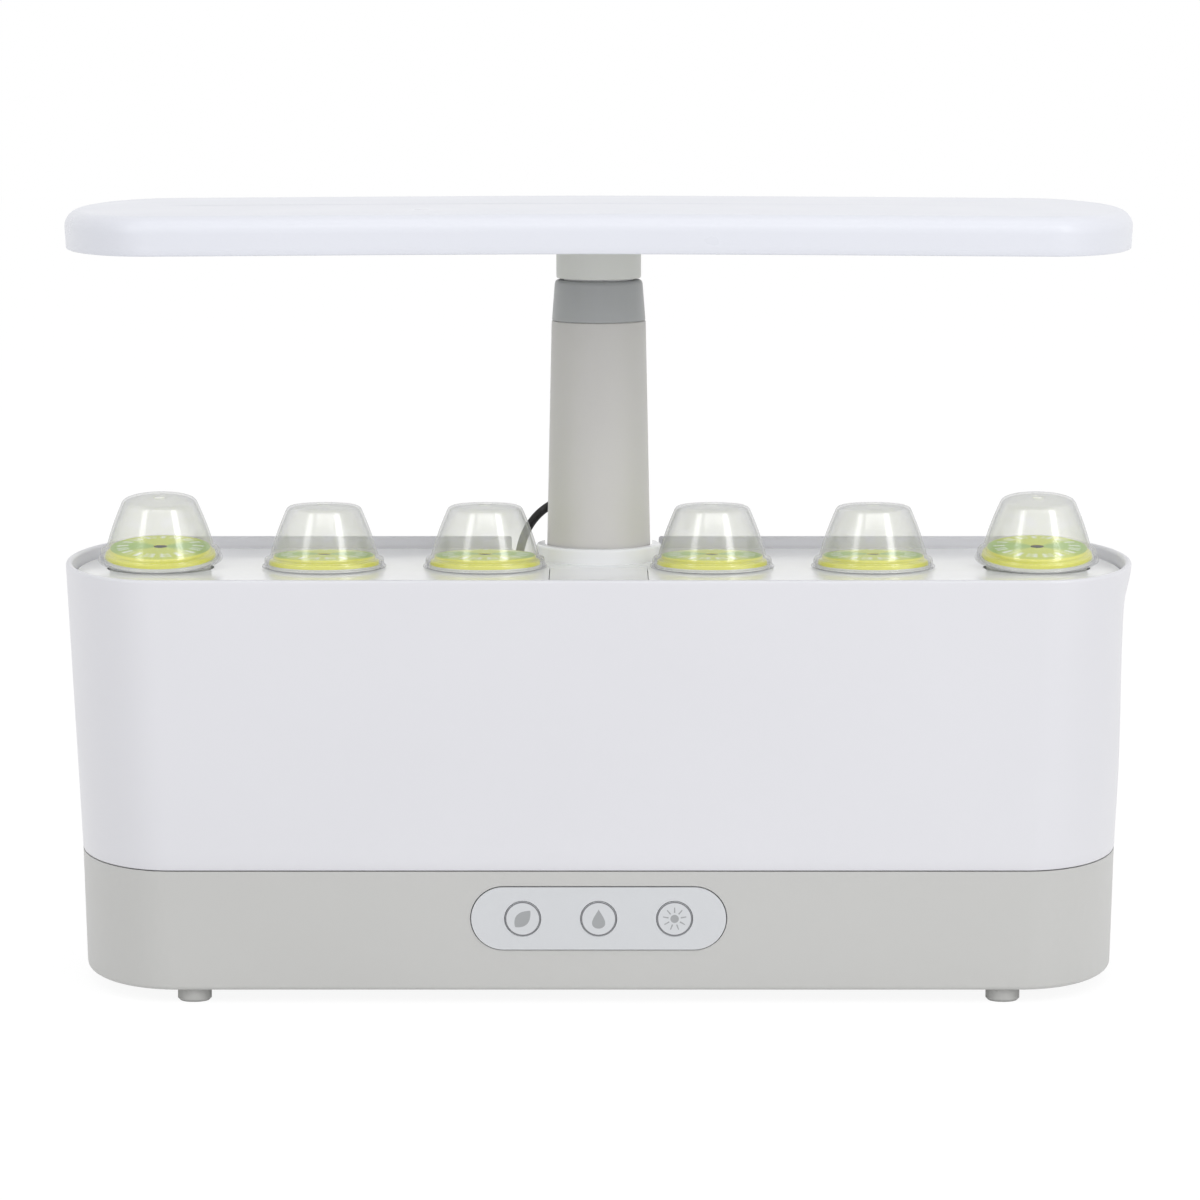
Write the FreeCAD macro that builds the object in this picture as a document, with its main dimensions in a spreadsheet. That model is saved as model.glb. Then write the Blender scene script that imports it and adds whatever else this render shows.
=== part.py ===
import FreeCAD, Part
import math
import os
import re
import Sketcher

from FreeCAD import Placement, Rotation, Vector

# Countertop hydroponic garden with six pods under a lamp hood on a telescopic post.
# Millimetres. +X to the right, +Y away from the front, +Z up.
# The origin is on the table, in the middle of the footprint.

# Driving dimensions: alias, value, what it is
SIZES = [
    ("foot_height", 5.0, "rubber foot, table to base"),
    ("foot_radius", 6.3, "rubber foot"),
    ("foot_edge", 0.9, "rounding of a foot's lower edge"),
    ("foot_inset_x", 44.3, "feet from the base's ends"),
    ("foot_inset_y", 8.7, "feet from the base's front and rear"),
    ("end_reach", 38.0, "how far the half-ellipse ends reach sideways"),
    ("base_low_width", 194.3, "half width of the base at its lower edge"),
    ("base_low_depth", 62.7, "half depth of the base at its lower edge"),
    ("base_height", 45.3, "height of the base above its feet"),
    ("base_wall", 2.2, "wall of the base"),
    ("base_edge", 1.8, "rounding of the base's lower edge"),
    ("base_roof", 2.5, "top plate of the base"),
    ("cover_thickness", 2.4, "bottom cover"),
    ("fit_gap", 0.3, "gap between parts that lift apart"),
    ("close_gap", 0.1, "gap around a part that is set in place"),
    ("running_gap", 0.05, "radial gap of a shaft or a sliding tube"),
    ("overshoot", 1.0, "how far a cutter reaches past what it cuts"),
    ("seam_width", 195.5, "half width at the seam of base and basin"),
    ("seam_depth", 67.2, "half depth at the seam of base and basin"),
    ("rim_width", 200.8, "half width at the basin's rim"),
    ("rim_depth", 73.3, "half depth at the basin's rim"),
    ("basin_height", 107.4, "height of the basin"),
    ("basin_floor", 2.6, "floor of the basin"),
    ("basin_wall", 3.0, "wall of the basin at its floor"),
    ("rim_wall", 3.4, "wall of the basin at its rim"),
    ("rim_round", 1.5, "rounding of the rim"),
    ("ledge", 2.2, "ledge inside the rim that carries the deck"),
    ("grip_radius", 120.0, "radius of the scoop in the right end"),
    ("grip_depth", 1.7, "depth of the scoop"),
    ("grip_height", 134.0, "middle of the scoop above the table"),
    ("grip_half_length", 30.0, "half length of the scoop, fore and aft"),
    ("notch_gap", 1.4, "gap between the post and the basin's notch"),
    ("notch_wall", 2.2, "wall around the basin's notch"),
    ("lead_notch_reach", 34.0, "how far the notch widens to the left for the lead"),
    ("lead_notch_front", 52.0, "front of the widening"),
    ("post_y", 36.0, "post from the middle, towards the rear"),
    ("sleeve_low", 22.1, "radius of the post sleeve at its foot"),
    ("sleeve_top", 18.0, "radius of the post sleeve at its top"),
    ("sleeve_height", 195.9, "post sleeve"),
    ("sleeve_bore", 15.05, "radius of the bore of sleeve and collar"),
    ("collar_height", 15.6, "collar on top of the sleeve"),
    ("collar_top", 16.6, "radius of the collar at its top"),
    ("collar_edge", 1.8, "rounded shoulder of the collar"),
    ("collar_lip", 2.6, "lip over the bush"),
    ("tube_radius", 13.3, "inner tube"),
    ("tube_wall", 1.6, "wall of the inner tube"),
    ("tube_foot_height", 6.0, "guide ring at the lower end of the inner tube"),
    ("tube_clearance", 9.0, "lower end of the inner tube above the base"),
    ("bush_height", 26.0, "friction bush in the collar"),
    ("hub_radius", 15.9, "hub under the hood"),
    ("hub_gap", 0.6, "dark gap between collar and hub"),
    ("hub_height", 15.8, "hub, collar to hood"),
    ("hub_flange", 25.0, "radius of the flange that carries the hood"),
    ("hub_flange_height", 2.0, "flange that carries the hood"),
    ("hood_low_width", 199.2, "half width of the hood at its lower edge"),
    ("hood_low_depth", 73.2, "half depth of the hood at its lower edge"),
    ("hood_width", 200.0, "half width of the hood at its top edge"),
    ("hood_depth", 74.0, "half depth of the hood at its top edge"),
    ("hood_end_reach", 36.0, "how far the hood's half-ellipse ends reach"),
    ("hood_height", 15.6, "hood"),
    ("hood_wall", 2.2, "wall of the hood"),
    ("hood_edge", 6.5, "rounding of the hood's upper edge"),
    ("diffuser_recess", 0.8, "diffuser above the hood's lower edge"),
    ("diffuser_thickness", 1.6, "clear diffuser"),
    ("board_gap", 3.0, "light board above the diffuser"),
    ("board_thickness", 1.6, "circuit boards"),
    ("board_margin", 9.0, "light board from the hood's walls"),
    ("chip_size", 3.2, "light chip, square"),
    ("chip_height", 0.9, "light chip"),
    ("chip_pitch_x", 24.0, "light chips, sideways"),
    ("chip_pitch_y", 25.0, "light chips, fore and aft"),
    ("ring_radius", 24.0, "raised ring of the deck around the post"),
    ("ring_height", 5.9, "raised ring above the deck"),
    ("ring_bore", 20.7, "bore of the raised ring"),
    ("ring_edge", 1.0, "rounding of the raised ring"),
    ("deck_drop", 3.5, "deck below the rim"),
    ("deck_thickness", 2.2, "deck"),
    ("lid_half_width", 18.3, "filling lid"),
    ("lid_front", 63.0, "front edge of the filling lid ahead of the middle"),
    ("lid_rear", 7.0, "hinge of the filling lid behind the middle"),
    ("lid_thickness", 1.4, "filling lid"),
    ("lid_ledge", 2.6, "ledge under the filling lid"),
    ("lid_pin", 1.1, "radius of the lid's hinge pins"),
    ("lid_pin_length", 2.0, "hinge pins, each side"),
    ("lid_notch", 3.2, "radius of the finger notch in the lid"),
    ("pod_y", 5.0, "row of pods behind the middle"),
    ("pod_inner_x", 43.0, "inner pods from the middle"),
    ("pod_inset", 34.8, "outer pods from the basin's rim"),
    ("pod_middle_shift", 0.5, "how far the second pods stand inside the mid-point of their neighbours"),
    ("pod_lean", 7.5, "lean of the outer pods to the front, degrees"),
    ("pod_hole", 20.3, "radius of the deck's pod holes"),
    ("basket_flange", 21.4, "radius of the basket's flange"),
    ("basket_flange_height", 1.2, "basket flange"),
    ("basket_rim", 20.6, "radius of the raised rim under the label"),
    ("basket_rim_height", 1.3, "raised rim under the label"),
    ("basket_top", 19.4, "radius of the basket under its flange"),
    ("basket_low", 13.0, "radius of the basket at its lower end"),
    ("basket_depth", 58.0, "basket below its flange"),
    ("basket_wall", 1.2, "basket wall"),
    ("basket_outlet", 8.5, "radius of the basket's root opening"),
    ("slot_width", 3.0, "root slots of the basket"),
    ("slot_height", 22.0, "root slots of the basket"),
    ("sponge_low", 10.6, "radius of the sponge at its lower end"),
    ("sponge_top", 12.0, "radius of the sponge at its top"),
    ("sponge_top_gap", 1.2, "sponge below the label"),
    ("label_bore", 7.0, "radius of the seed hole in the label"),
    ("label_radius", 20.9, "label"),
    ("label_thickness", 0.3, "label"),
    ("label_rise", 0.9, "how far the label's middle stands above its edge"),
    ("dome_flange", 23.5, "radius of the dome's flange"),
    ("dome_flange_height", 0.8, "dome flange"),
    ("dome_skirt", 22.6, "radius of the dome's skirt"),
    ("dome_skirt_height", 3.9, "dome skirt above the deck"),
    ("dome_foot", 20.4, "radius of the dome's wall above the skirt"),
    ("dome_belly", 18.6, "radius of the dome's wall at mid height"),
    ("dome_belly_height", 13.5, "mid height of the dome above the deck"),
    ("dome_shoulder", 14.6, "radius of the dome at its shoulder"),
    ("dome_shoulder_height", 22.8, "shoulder of the dome above the deck"),
    ("dome_top", 12.6, "radius of the dome's flat top"),
    ("dome_height", 24.2, "dome above the deck"),
    ("dome_wall", 0.8, "dome wall"),
    ("panel_z", 32.6, "middle of the control panel above the table"),
    ("panel_half_width", 47.0, "control panel"),
    ("panel_radius", 11.9, "half height of the control panel"),
    ("panel_proud", 0.5, "control panel ahead of the base"),
    ("panel_flange", 2.0, "flange of the panel behind the base's wall"),
    ("panel_flange_thickness", 1.2, "flange of the panel"),
    ("panel_groove", 0.4, "groove around the panel"),
    ("button_pitch", 28.0, "buttons, middle to middle"),
    ("button_radius", 6.56, "button"),
    ("button_gap", 0.24, "gap around a button"),
    ("button_proud", 0.3, "button ahead of the panel"),
    ("button_flange", 7.6, "radius of the button's flange"),
    ("button_flange_thickness", 1.2, "flange of a button"),
    ("button_travel", 0.8, "how far a button goes in"),
    ("switch_size", 6.0, "switch body, square"),
    ("switch_height", 3.5, "switch body"),
    ("switch_pin_radius", 1.7, "switch plunger"),
    ("switch_pin_height", 1.0, "switch plunger"),
    ("control_board_width", 88.0, "control board"),
    ("control_board_height", 22.0, "control board"),
    ("standoff_radius", 2.2, "posts that carry the control board"),
    ("standoff_x", 40.5, "posts that carry the control board"),
    ("lamp_radius", 1.5, "signal lamp beside each switch"),
    ("lamp_height", 3.0, "signal lamp"),
    ("inlet_x", 60.0, "power inlet from the middle"),
    ("inlet_z", 25.0, "power inlet above the table"),
    ("inlet_radius", 5.0, "power inlet"),
    ("inlet_bore", 2.8, "radius of the power inlet's socket"),
    ("inlet_pin", 1.0, "radius of the power inlet's pin"),
    ("inlet_length", 14.0, "power inlet"),
    ("inlet_socket", 10.0, "depth of the power inlet's socket"),
    ("inlet_proud", 0.8, "power inlet behind the base's rear wall"),
    ("pump_y", 0.0, "pump from the middle, towards the rear"),
    ("motor_radius", 15.0, "pump motor"),
    ("motor_height", 29.0, "pump motor"),
    ("plinth_margin", 1.0, "how much wider than the motor its plinth is"),
    ("pump_shaft", 1.5, "radius of the motor's shaft and the impeller's pin"),
    ("magnet_radius", 12.0, "drive magnet and impeller magnet"),
    ("magnet_height", 6.0, "drive magnet and impeller magnet"),
    ("magnet_web", 1.0, "between the drive magnet and the base's roof"),
    ("vane_height", 7.0, "impeller vanes"),
    ("vane_thickness", 1.6, "impeller vanes"),
    ("pump_cover_radius", 18.0, "pump cover"),
    ("pump_cover_height", 20.0, "pump cover"),
    ("pump_cover_wall", 1.8, "pump cover"),
    ("intake_radius", 2.2, "intake holes of the pump cover"),
    ("outlet_shift", 7.0, "outlet beside the pump's axis"),
    ("outlet_radius", 4.0, "outlet tube"),
    ("outlet_bore", 2.6, "outlet tube"),
    ("float_y", -38.0, "level float"),
    ("float_radius", 9.0, "level float"),
    ("float_bore", 3.0, "radius of the float's bore"),
    ("float_height", 18.0, "level float"),
    ("float_travel", 24.0, "how far the float rises"),
    ("cage_gap", 0.9, "between the float and its cage"),
    ("cage_wall", 1.3, "float cage"),
    ("screw_head", 2.9, "radius of the screw heads"),
    ("screw_head_height", 1.6, "screw heads"),
    ("screw_shank", 1.4, "radius of the screw shanks"),
    ("screw_length", 9.0, "screws, with their heads"),
    ("boss_radius", 3.6, "screw bosses"),
    ("screw_room", 1.0, "bore beyond the end of a screw"),
    ("base_screw_inset", 26.3, "base screws from the base's ends"),
    ("base_screw_y", 30.0, "base screws, fore and aft"),
    ("hood_screw_inset_x", 49.2, "hood screws from the hood's ends"),
    ("hood_screw_inset_y", 15.2, "hood screws from the hood's front and rear"),
    ("lead_radius", 1.7, "lamp lead"),
    ("gland_radius", 3.6, "gland in the post's rear"),
    ("gland_step", 1.0, "how much narrower the gland's neck is"),
    ("gland_stand", 1.0, "gland's collar from the post's side"),
    ("gland_height", 173.5, "gland above the table"),
    ("gland_turn", 8.0, "turn of the gland to the left, degrees"),
    ("gland_length", 6.0, "gland outside the post"),
    ("grommet_radius", 4.6, "grommet in the base's top"),
    ("grommet_height", 3.4, "grommet above the base's top"),
    ("grommet_x", -28.0, "grommet from the middle"),
    ("grommet_inset", 7.4, "grommet ahead of the base's rear"),
]

# Heights and sizes that follow from the driving dimensions
FORMULAS = {
    "base_top": "foot_height + base_height",
    "base_ceiling": "base_top - base_roof",
    "basin_low": "base_top + fit_gap",
    "basin_top": "basin_low + basin_height",
    "water_floor": "basin_low + basin_floor",
    "deck_top": "basin_top - deck_drop",
    "deck_low": "deck_top - deck_thickness",
    "ledge_top": "deck_low",
    "notch_radius": "sleeve_low + notch_gap",
    "sleeve_end": "base_top + sleeve_height",
    "collar_end": "sleeve_end + collar_height",
    "hood_low": "collar_end + hub_gap + hub_height",
    "diffuser_low": "hood_low + diffuser_recess",
    "diffuser_end": "diffuser_low + diffuser_thickness",
    "flange_low": "diffuser_end + fit_gap",
    "flange_end": "flange_low + hub_flange_height",
    "light_board_low": "diffuser_end + board_gap",
    "hood_ceiling": "hood_low + hood_height - hood_wall",
    "lid_top": "deck_top",
    "pod_seat": "deck_top + fit_gap",
    "foot_x": "base_low_width - foot_inset_x",
    "foot_y": "base_low_depth - foot_inset_y",
    "base_screw_x": "base_low_width - base_screw_inset",
    "hood_screw_x": "hood_low_width - hood_screw_inset_x",
    "hood_screw_y": "hood_low_depth - hood_screw_inset_y",
    "pod_outer_x": "rim_width - pod_inset",
    "pod_middle_x": "(pod_inner_x + pod_outer_x) / 2 - pod_middle_shift",
    "pump_x": "(pod_middle_x + pod_outer_x) / 2 - outlet_shift",
    "float_x": "-(pod_inner_x + pod_middle_x) / 2",
    "grommet_y": "seam_depth - grommet_inset",
    "grommet_neck": "(grommet_radius + lead_radius) / 2",
    "gland_neck": "gland_radius - gland_step",
    "gland_seat": "sleeve_low + (sleeve_top - sleeve_low) * (gland_height - base_top) / sleeve_height",
    "gland_reach": "gland_seat + gland_length",
    "wall_lean": "(seam_depth - base_low_depth) / base_height",
    "panel_face": "base_low_depth + wall_lean * (panel_z - foot_height)",
    "panel_back": "base_wall + panel_flange_thickness",
    "button_back": "panel_back + fit_gap + button_flange_thickness",
    "switch_front": "button_back + button_travel + fit_gap",
    "board_front": "switch_front + switch_pin_height + switch_height",
    "inlet_face": "base_low_depth + wall_lean * (inlet_z - foot_height)",
    "shaft_end": "base_ceiling - fit_gap",
    "magnet_low": "base_ceiling - magnet_web - magnet_height",
    "motor_low": "magnet_low - fit_gap - motor_height",
    "impeller_low": "water_floor + fit_gap",
    "cover_end": "water_floor + pump_cover_height",
    "cage_radius": "float_radius + cage_gap",
    "cage_height": "float_height + float_travel + 3 * fit_gap",
    "basket_end": "basket_flange_height + basket_rim_height",
}

# The lamp lead's route from the gland in the post down to the grommet in the base
LEAD_POINTS = [
    (-4.7, 69.8, 173.8),
    (-9.6, 77.0, 173.8),
    (-16.9, 81.2, 171.7),
    (-24.3, 82.0, 166.6),
    (-29.5, 81.0, 158.7),
    (-32.0, 78.9, 147.4),
    (-31.9, 75.6, 133.5),
    (-30.6, 70.6, 117.6),
    (-29.0, 65.8, 100.6),
    (-28.2, 62.0, 82.8),
    (-28.1, 60.0, 66.4),
]

ARC_SHARE = 0.45
VANES = 6
INTAKES = 8
CHIP_ROWS = (-1, 0, 1)
CHIP_COLUMNS = range(-6, 7)

POD_PLACES = [
    ("-pod_outer_x", "pod_lean"),
    ("-pod_middle_x", "0"),
    ("-pod_inner_x", "0"),
    ("pod_inner_x", "0"),
    ("pod_middle_x", "0"),
    ("pod_outer_x", "pod_lean"),
]

doc = FreeCAD.newDocument("Garden")
sheet = doc.addObject("Spreadsheet::Sheet", "Sizes")
NAMES = {alias for alias, number, words in SIZES}


def fill_sheet():
    """Puts each driving dimension in a row of the sheet, with its alias."""
    for row, (alias, number, words) in enumerate(SIZES, 1):
        sheet.set(f"A{row}", words)
        sheet.set(f"B{row}", str(number))
        sheet.setAlias(f"B{row}", alias)
    doc.recompute()


def link(text):
    """Turns plain names into references to the sheet, with formulas written out."""
    def reference(match):
        word = match[0]
        if word in FORMULAS:
            return "(" + link(FORMULAS[word]) + ")"
        return "Sizes." + word if word in NAMES else word
    return re.sub(r"[a-z][a-z_]*", reference, text)


def size(text):
    """The number that a name or a formula has now."""
    answer = sheet.evalExpression(link(text))
    return float(getattr(answer, "Value", answer))


def put(item, x="0", y="0", z="0"):
    """Binds an object's position."""
    for axis, text in (("x", x), ("y", y), ("z", z)):
        item.setExpression("Placement.Base." + axis, link(text))
    return item


def primitive(kind, name, place=("0", "0", "0"), turn=None, **sizes):
    """A Part primitive whose sizes are bound; turn is its axis and angle."""
    item = doc.addObject("Part::" + kind, name)
    if turn:
        item.Placement = Placement(Vector(), Rotation(Vector(*turn[0]), turn[1]))
    for property_name, text in sizes.items():
        item.setExpression(property_name, link(text))
    return put(item, *place)


def cylinder(name, radius, height, place=("0", "0", "0"), turn=None):
    """A cylinder that stands on its place, before any turn."""
    return primitive("Cylinder", name, place, turn, Radius=radius, Height=height)


def block(name, length, width, height, place=("0", "0", "0")):
    """A box centred on its place in X and Y, standing on its place in Z."""
    x, y, z = place
    corner = (f"{x} - ({length}) / 2", f"{y} - ({width}) / 2", z)
    return primitive("Box", name, corner, None, Length=length, Width=width, Height=height)


def joined(name, pieces):
    """Fuses pieces into one."""
    item = doc.addObject("Part::MultiFuse", name)
    item.Shapes = pieces
    return item


def cut(name, body, tools):
    """Takes one or more tools out of a body."""
    item = doc.addObject("Part::Cut", name)
    item.Base = body
    item.Tool = tools[0] if len(tools) == 1 else together(name + "_tools", tools)
    return item


def together(name, pieces):
    """Keeps separate solids side by side in one object."""
    item = doc.addObject("Part::Compound", name)
    item.Links = pieces
    return item


def tube(name, radius, bore, height, place=("0", "0", "0"), turn=None):
    """A straight tube; its bore is open at both ends."""
    outside = cylinder(name + "_outside", radius, height, place, turn)
    inside = cylinder(name + "_inside", bore, height, place, turn)
    return cut(name, outside, [inside])


def sketch_in(body, role, name):
    """A sketch on one of the body's own origin planes."""
    sketch = body.newObject("Sketcher::SketchObject", name)
    plane = [item for item in body.Origin.OriginFeatures if item.Role == role][0]
    sketch.AttachmentSupport = [(plane, "")]
    sketch.MapMode = "FlatFace"
    return sketch


def draw_polygon(sketch, points):
    """A closed outline whose corners are bound to pairs of formulas."""
    places = [Vector(size(x), size(y), 0) for x, y in points]
    count = len(points)
    for index in range(count):
        sketch.addGeometry(Part.LineSegment(places[index], places[(index + 1) % count]))
    for index in range(count):
        following = (index + 1) % count
        sketch.addConstraint(Sketcher.Constraint("Coincident", index, 2, following, 1))
    for index, (x, y) in enumerate(points):
        for kind, text, axis in (("DistanceX", x, -2), ("DistanceY", y, -1)):
            if text == "0":
                sketch.addConstraint(Sketcher.Constraint("PointOnObject", index, 1, axis))
                continue
            number = sketch.addConstraint(Sketcher.Constraint(kind, -1, 1, index, 1, size(text)))
            sketch.setExpression(f"Constraints[{number}]", link(text))


def turned(name, profile):
    """A body turned about Z from pairs of radius and height."""
    body = doc.addObject("PartDesign::Body", name)
    sketch = sketch_in(body, "XZ_Plane", name + "_profile")
    draw_polygon(sketch, profile)
    turning = body.newObject("PartDesign::Revolution", name + "_turning")
    turning.Profile = sketch
    turning.ReferenceAxis = (sketch, ["V_Axis"])
    turning.Angle = 360
    return body


def oval(half_width, half_depth, reach, z):
    """A level outline of two straight sides and two half-ellipse ends."""
    straight = half_width - reach
    edges = []
    for side in (1, -1):
        middle = Vector(side * straight, 0, z)
        start = Vector(side * straight, -side * half_depth, z)
        tip = Vector(side * half_width, 0, z)
        ellipse = Part.Ellipse(start, tip, middle)
        edges.append(Part.ArcOfEllipse(ellipse, 0, math.pi).toShape())
        end = Vector(side * straight, side * half_depth, z)
        edges.append(Part.LineSegment(end, Vector(-side * straight, side * half_depth, z)).toShape())
    return Part.Wire(Part.__sortEdges__(edges))


def drafted(low, top):
    """A solid between two level outlines, each (half width, half depth, reach, z)."""
    return Part.makeLoft([oval(*low), oval(*top)], True, True)


def part_feature(name, shape):
    """Puts a finished shape in the document."""
    item = doc.addObject("Part::Feature", name)
    item.Shape = shape
    return item


def level_edges(shape, z):
    """Edges that lie wholly at one height."""
    near = 1e-4
    return [edge for edge in shape.Edges
            if abs(edge.BoundBox.ZMin - z) < near and abs(edge.BoundBox.ZMax - z) < near]


def straight_between(low, top, z):
    """Half width and half depth at a height, on a wall that runs straight from low to top."""
    share = (z - low[2]) / (top[2] - low[2])
    return [low[index] + share * (top[index] - low[index]) for index in (0, 1)]


def basin_flank(z):
    """Half width and half depth of the basin at a height."""
    low = (size("seam_width"), size("seam_depth"), size("basin_low"))
    top = (size("rim_width"), size("rim_depth"), size("basin_top"))
    return straight_between(low, top, z)


def base_flank(z):
    """Half width and half depth of the base at a height."""
    low = (size("base_low_width"), size("base_low_depth"), size("foot_height"))
    top = (size("seam_width"), size("seam_depth"), size("base_top"))
    return straight_between(low, top, z)


def outline_at(flank, z, inset):
    """The outline of a drafted wall at a height, drawn in by an inset."""
    half_width, half_depth = flank(z)
    return (half_width - inset, half_depth - inset, size("end_reach") - inset, z)


def notch(extra, low, top):
    """The slot that goes round the post and opens to the rear, with room for the lead."""
    radius = size("notch_radius") + extra
    post_y = size("post_y")
    rear = 2 * size("rim_depth")
    shaft = Part.makeCylinder(radius, top - low, Vector(0, post_y, low))
    way = Part.makeBox(2 * radius, rear - post_y, top - low, Vector(-radius, post_y, low))
    left = -size("lead_notch_reach") - extra
    front = size("lead_notch_front") - extra
    side = Part.makeBox(-left, rear - front, top - low, Vector(left, front, low))
    return shaft.fuse([way, side]).removeSplitter()


def stadium(name, half_length, radius, height, z):
    """A slab with round ends along X, standing on z."""
    straight = f"{half_length} - ({radius})"
    middle = block(name + "_middle", f"2 * ({straight})", f"2 * ({radius})", height, ("0", "0", z))
    ends = [cylinder(f"{name}_{side}", radius, height, (f"{sign}({straight})", "0", z))
            for side, sign in (("left", "-"), ("right", ""))]
    return joined(name, [middle] + ends)


def on_panel(item):
    """Turns a piece drawn flat, face up, on to the leaning front of the base."""
    item.Placement = Placement(Vector(), Rotation(Vector(1, 0, 0), 90))
    item.setExpression("Placement.Rotation.Angle", link("90 deg + atan(wall_lean)"))
    return put(item, "0", "-panel_face", "panel_z")


def make_base_housing():
    """A shell open below, with screw bosses and holes for the panel, the inlet and the grommet."""
    low_z = size("foot_height")
    top_z = size("base_top")
    wall = size("base_wall")
    outside = drafted(outline_at(base_flank, low_z, 0), outline_at(base_flank, top_z, 0))
    outside = outside.makeFillet(size("base_edge"), level_edges(outside, low_z))
    ceiling = size("base_ceiling")
    inside = drafted(outline_at(base_flank, low_z, wall), outline_at(base_flank, ceiling, wall))
    shell = outside.cut(inside)
    bore = size("screw_length + screw_room")
    bosses = [Part.makeCylinder(size("boss_radius"), ceiling - low_z - size("cover_thickness"),
                                Vector(x, y, low_z + size("cover_thickness")))
              for x, y in screw_places("base_screw_x", "base_screw_y")]
    holes = [Part.makeCylinder(size("screw_shank") + size("close_gap"), bore,
                               Vector(x, y, low_z))
             for x, y in screw_places("base_screw_x", "base_screw_y")]
    shell = shell.fuse([boss.common(outside) for boss in bosses])
    window = panel_window()
    inlet = Part.makeCylinder(size("inlet_radius") + size("close_gap"), 3 * size("inlet_length"),
                              Vector(size("inlet_x"), size("inlet_face") - size("inlet_length"),
                                     size("inlet_z")), Vector(0, 1, 0))
    grommet = Part.makeCylinder(size("grommet_neck + close_gap"), 2 * size("base_roof"),
                                Vector(size("grommet_x"), size("grommet_y"), ceiling - wall / 2))
    shell = shell.cut(holes + [window, inlet, grommet])
    part_feature("base_housing", shell.removeSplitter())


def screw_places(x_name, y_name):
    """Four places that mirror each other about the middle."""
    return [(sx * size(x_name), sy * size(y_name)) for sx in (-1, 1) for sy in (-1, 1)]


def panel_window():
    """The opening in the front wall that the control panel fills."""
    groove = size("panel_groove")
    radius = size("panel_radius") + groove
    straight = size("panel_half_width") - size("panel_radius")
    depth = size("base_wall") * 4
    pieces = [Part.makeBox(2 * straight, 2 * radius, depth, Vector(-straight, -radius, -depth / 2))]
    pieces += [Part.makeCylinder(radius, depth, Vector(side * straight, 0, -depth / 2))
               for side in (-1, 1)]
    window = pieces[0].fuse(pieces[1:]).removeSplitter()
    lean = math.degrees(math.atan(size("wall_lean")))
    window.Placement = Placement(Vector(0, -size("panel_face"), size("panel_z")),
                                 Rotation(Vector(1, 0, 0), 90 + lean))
    return window


def make_bottom_cover():
    """The plate under the base, with sunk screw holes and a plinth for the motor."""
    low_z = size("foot_height")
    top_z = low_z + size("cover_thickness")
    inset = size("base_wall") + size("fit_gap")
    plate = drafted(outline_at(base_flank, low_z, inset), outline_at(base_flank, top_z, inset))
    sinks = []
    for x, y in screw_places("base_screw_x", "base_screw_y"):
        sinks.append(Part.makeCylinder(size("screw_head") + size("close_gap"),
                                       size("screw_head_height"), Vector(x, y, low_z)))
        sinks.append(Part.makeCylinder(size("screw_shank") + size("close_gap"),
                                       2 * size("cover_thickness"), Vector(x, y, low_z)))
    plinth_low = top_z - size("close_gap")
    plinth = Part.makeCylinder(size("motor_radius + plinth_margin"), size("motor_low") - plinth_low,
                               Vector(size("pump_x"), size("pump_y"), plinth_low))
    part_feature("bottom_cover", plate.cut(sinks).fuse(plinth).removeSplitter())


def make_feet():
    """Four rubber feet with a bevelled lower edge."""
    feet = []
    for side, sx in (("left", "-"), ("right", "")):
        for end, sy in (("front", "-"), ("rear", "")):
            name = f"foot_{side}_{end}"
            foot = turned(name, [("0", "0"), ("foot_radius - foot_edge", "0"),
                                 ("foot_radius", "foot_edge"), ("foot_radius", "foot_height"),
                                 ("0", "foot_height")])
            feet.append(put(foot, sx + "foot_x", sy + "foot_y", "0"))
    together("rubber_feet", feet)


def screws(name, x_name, y_name, seat):
    """Four screws, heads down, whose heads start at the seat."""
    pieces = []
    for number, (sx, sy) in enumerate((("-", "-"), ("-", ""), ("", "-"), ("", "")), 1):
        place = (sx + x_name, sy + y_name, seat)
        head = cylinder(f"{name}_head_{number}", "screw_head", "screw_head_height", place)
        shank = cylinder(f"{name}_shank_{number}", "screw_shank", "screw_length", place)
        pieces.append(joined(f"{name}_{number}", [head, shank]))
    together(name, pieces)


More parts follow.
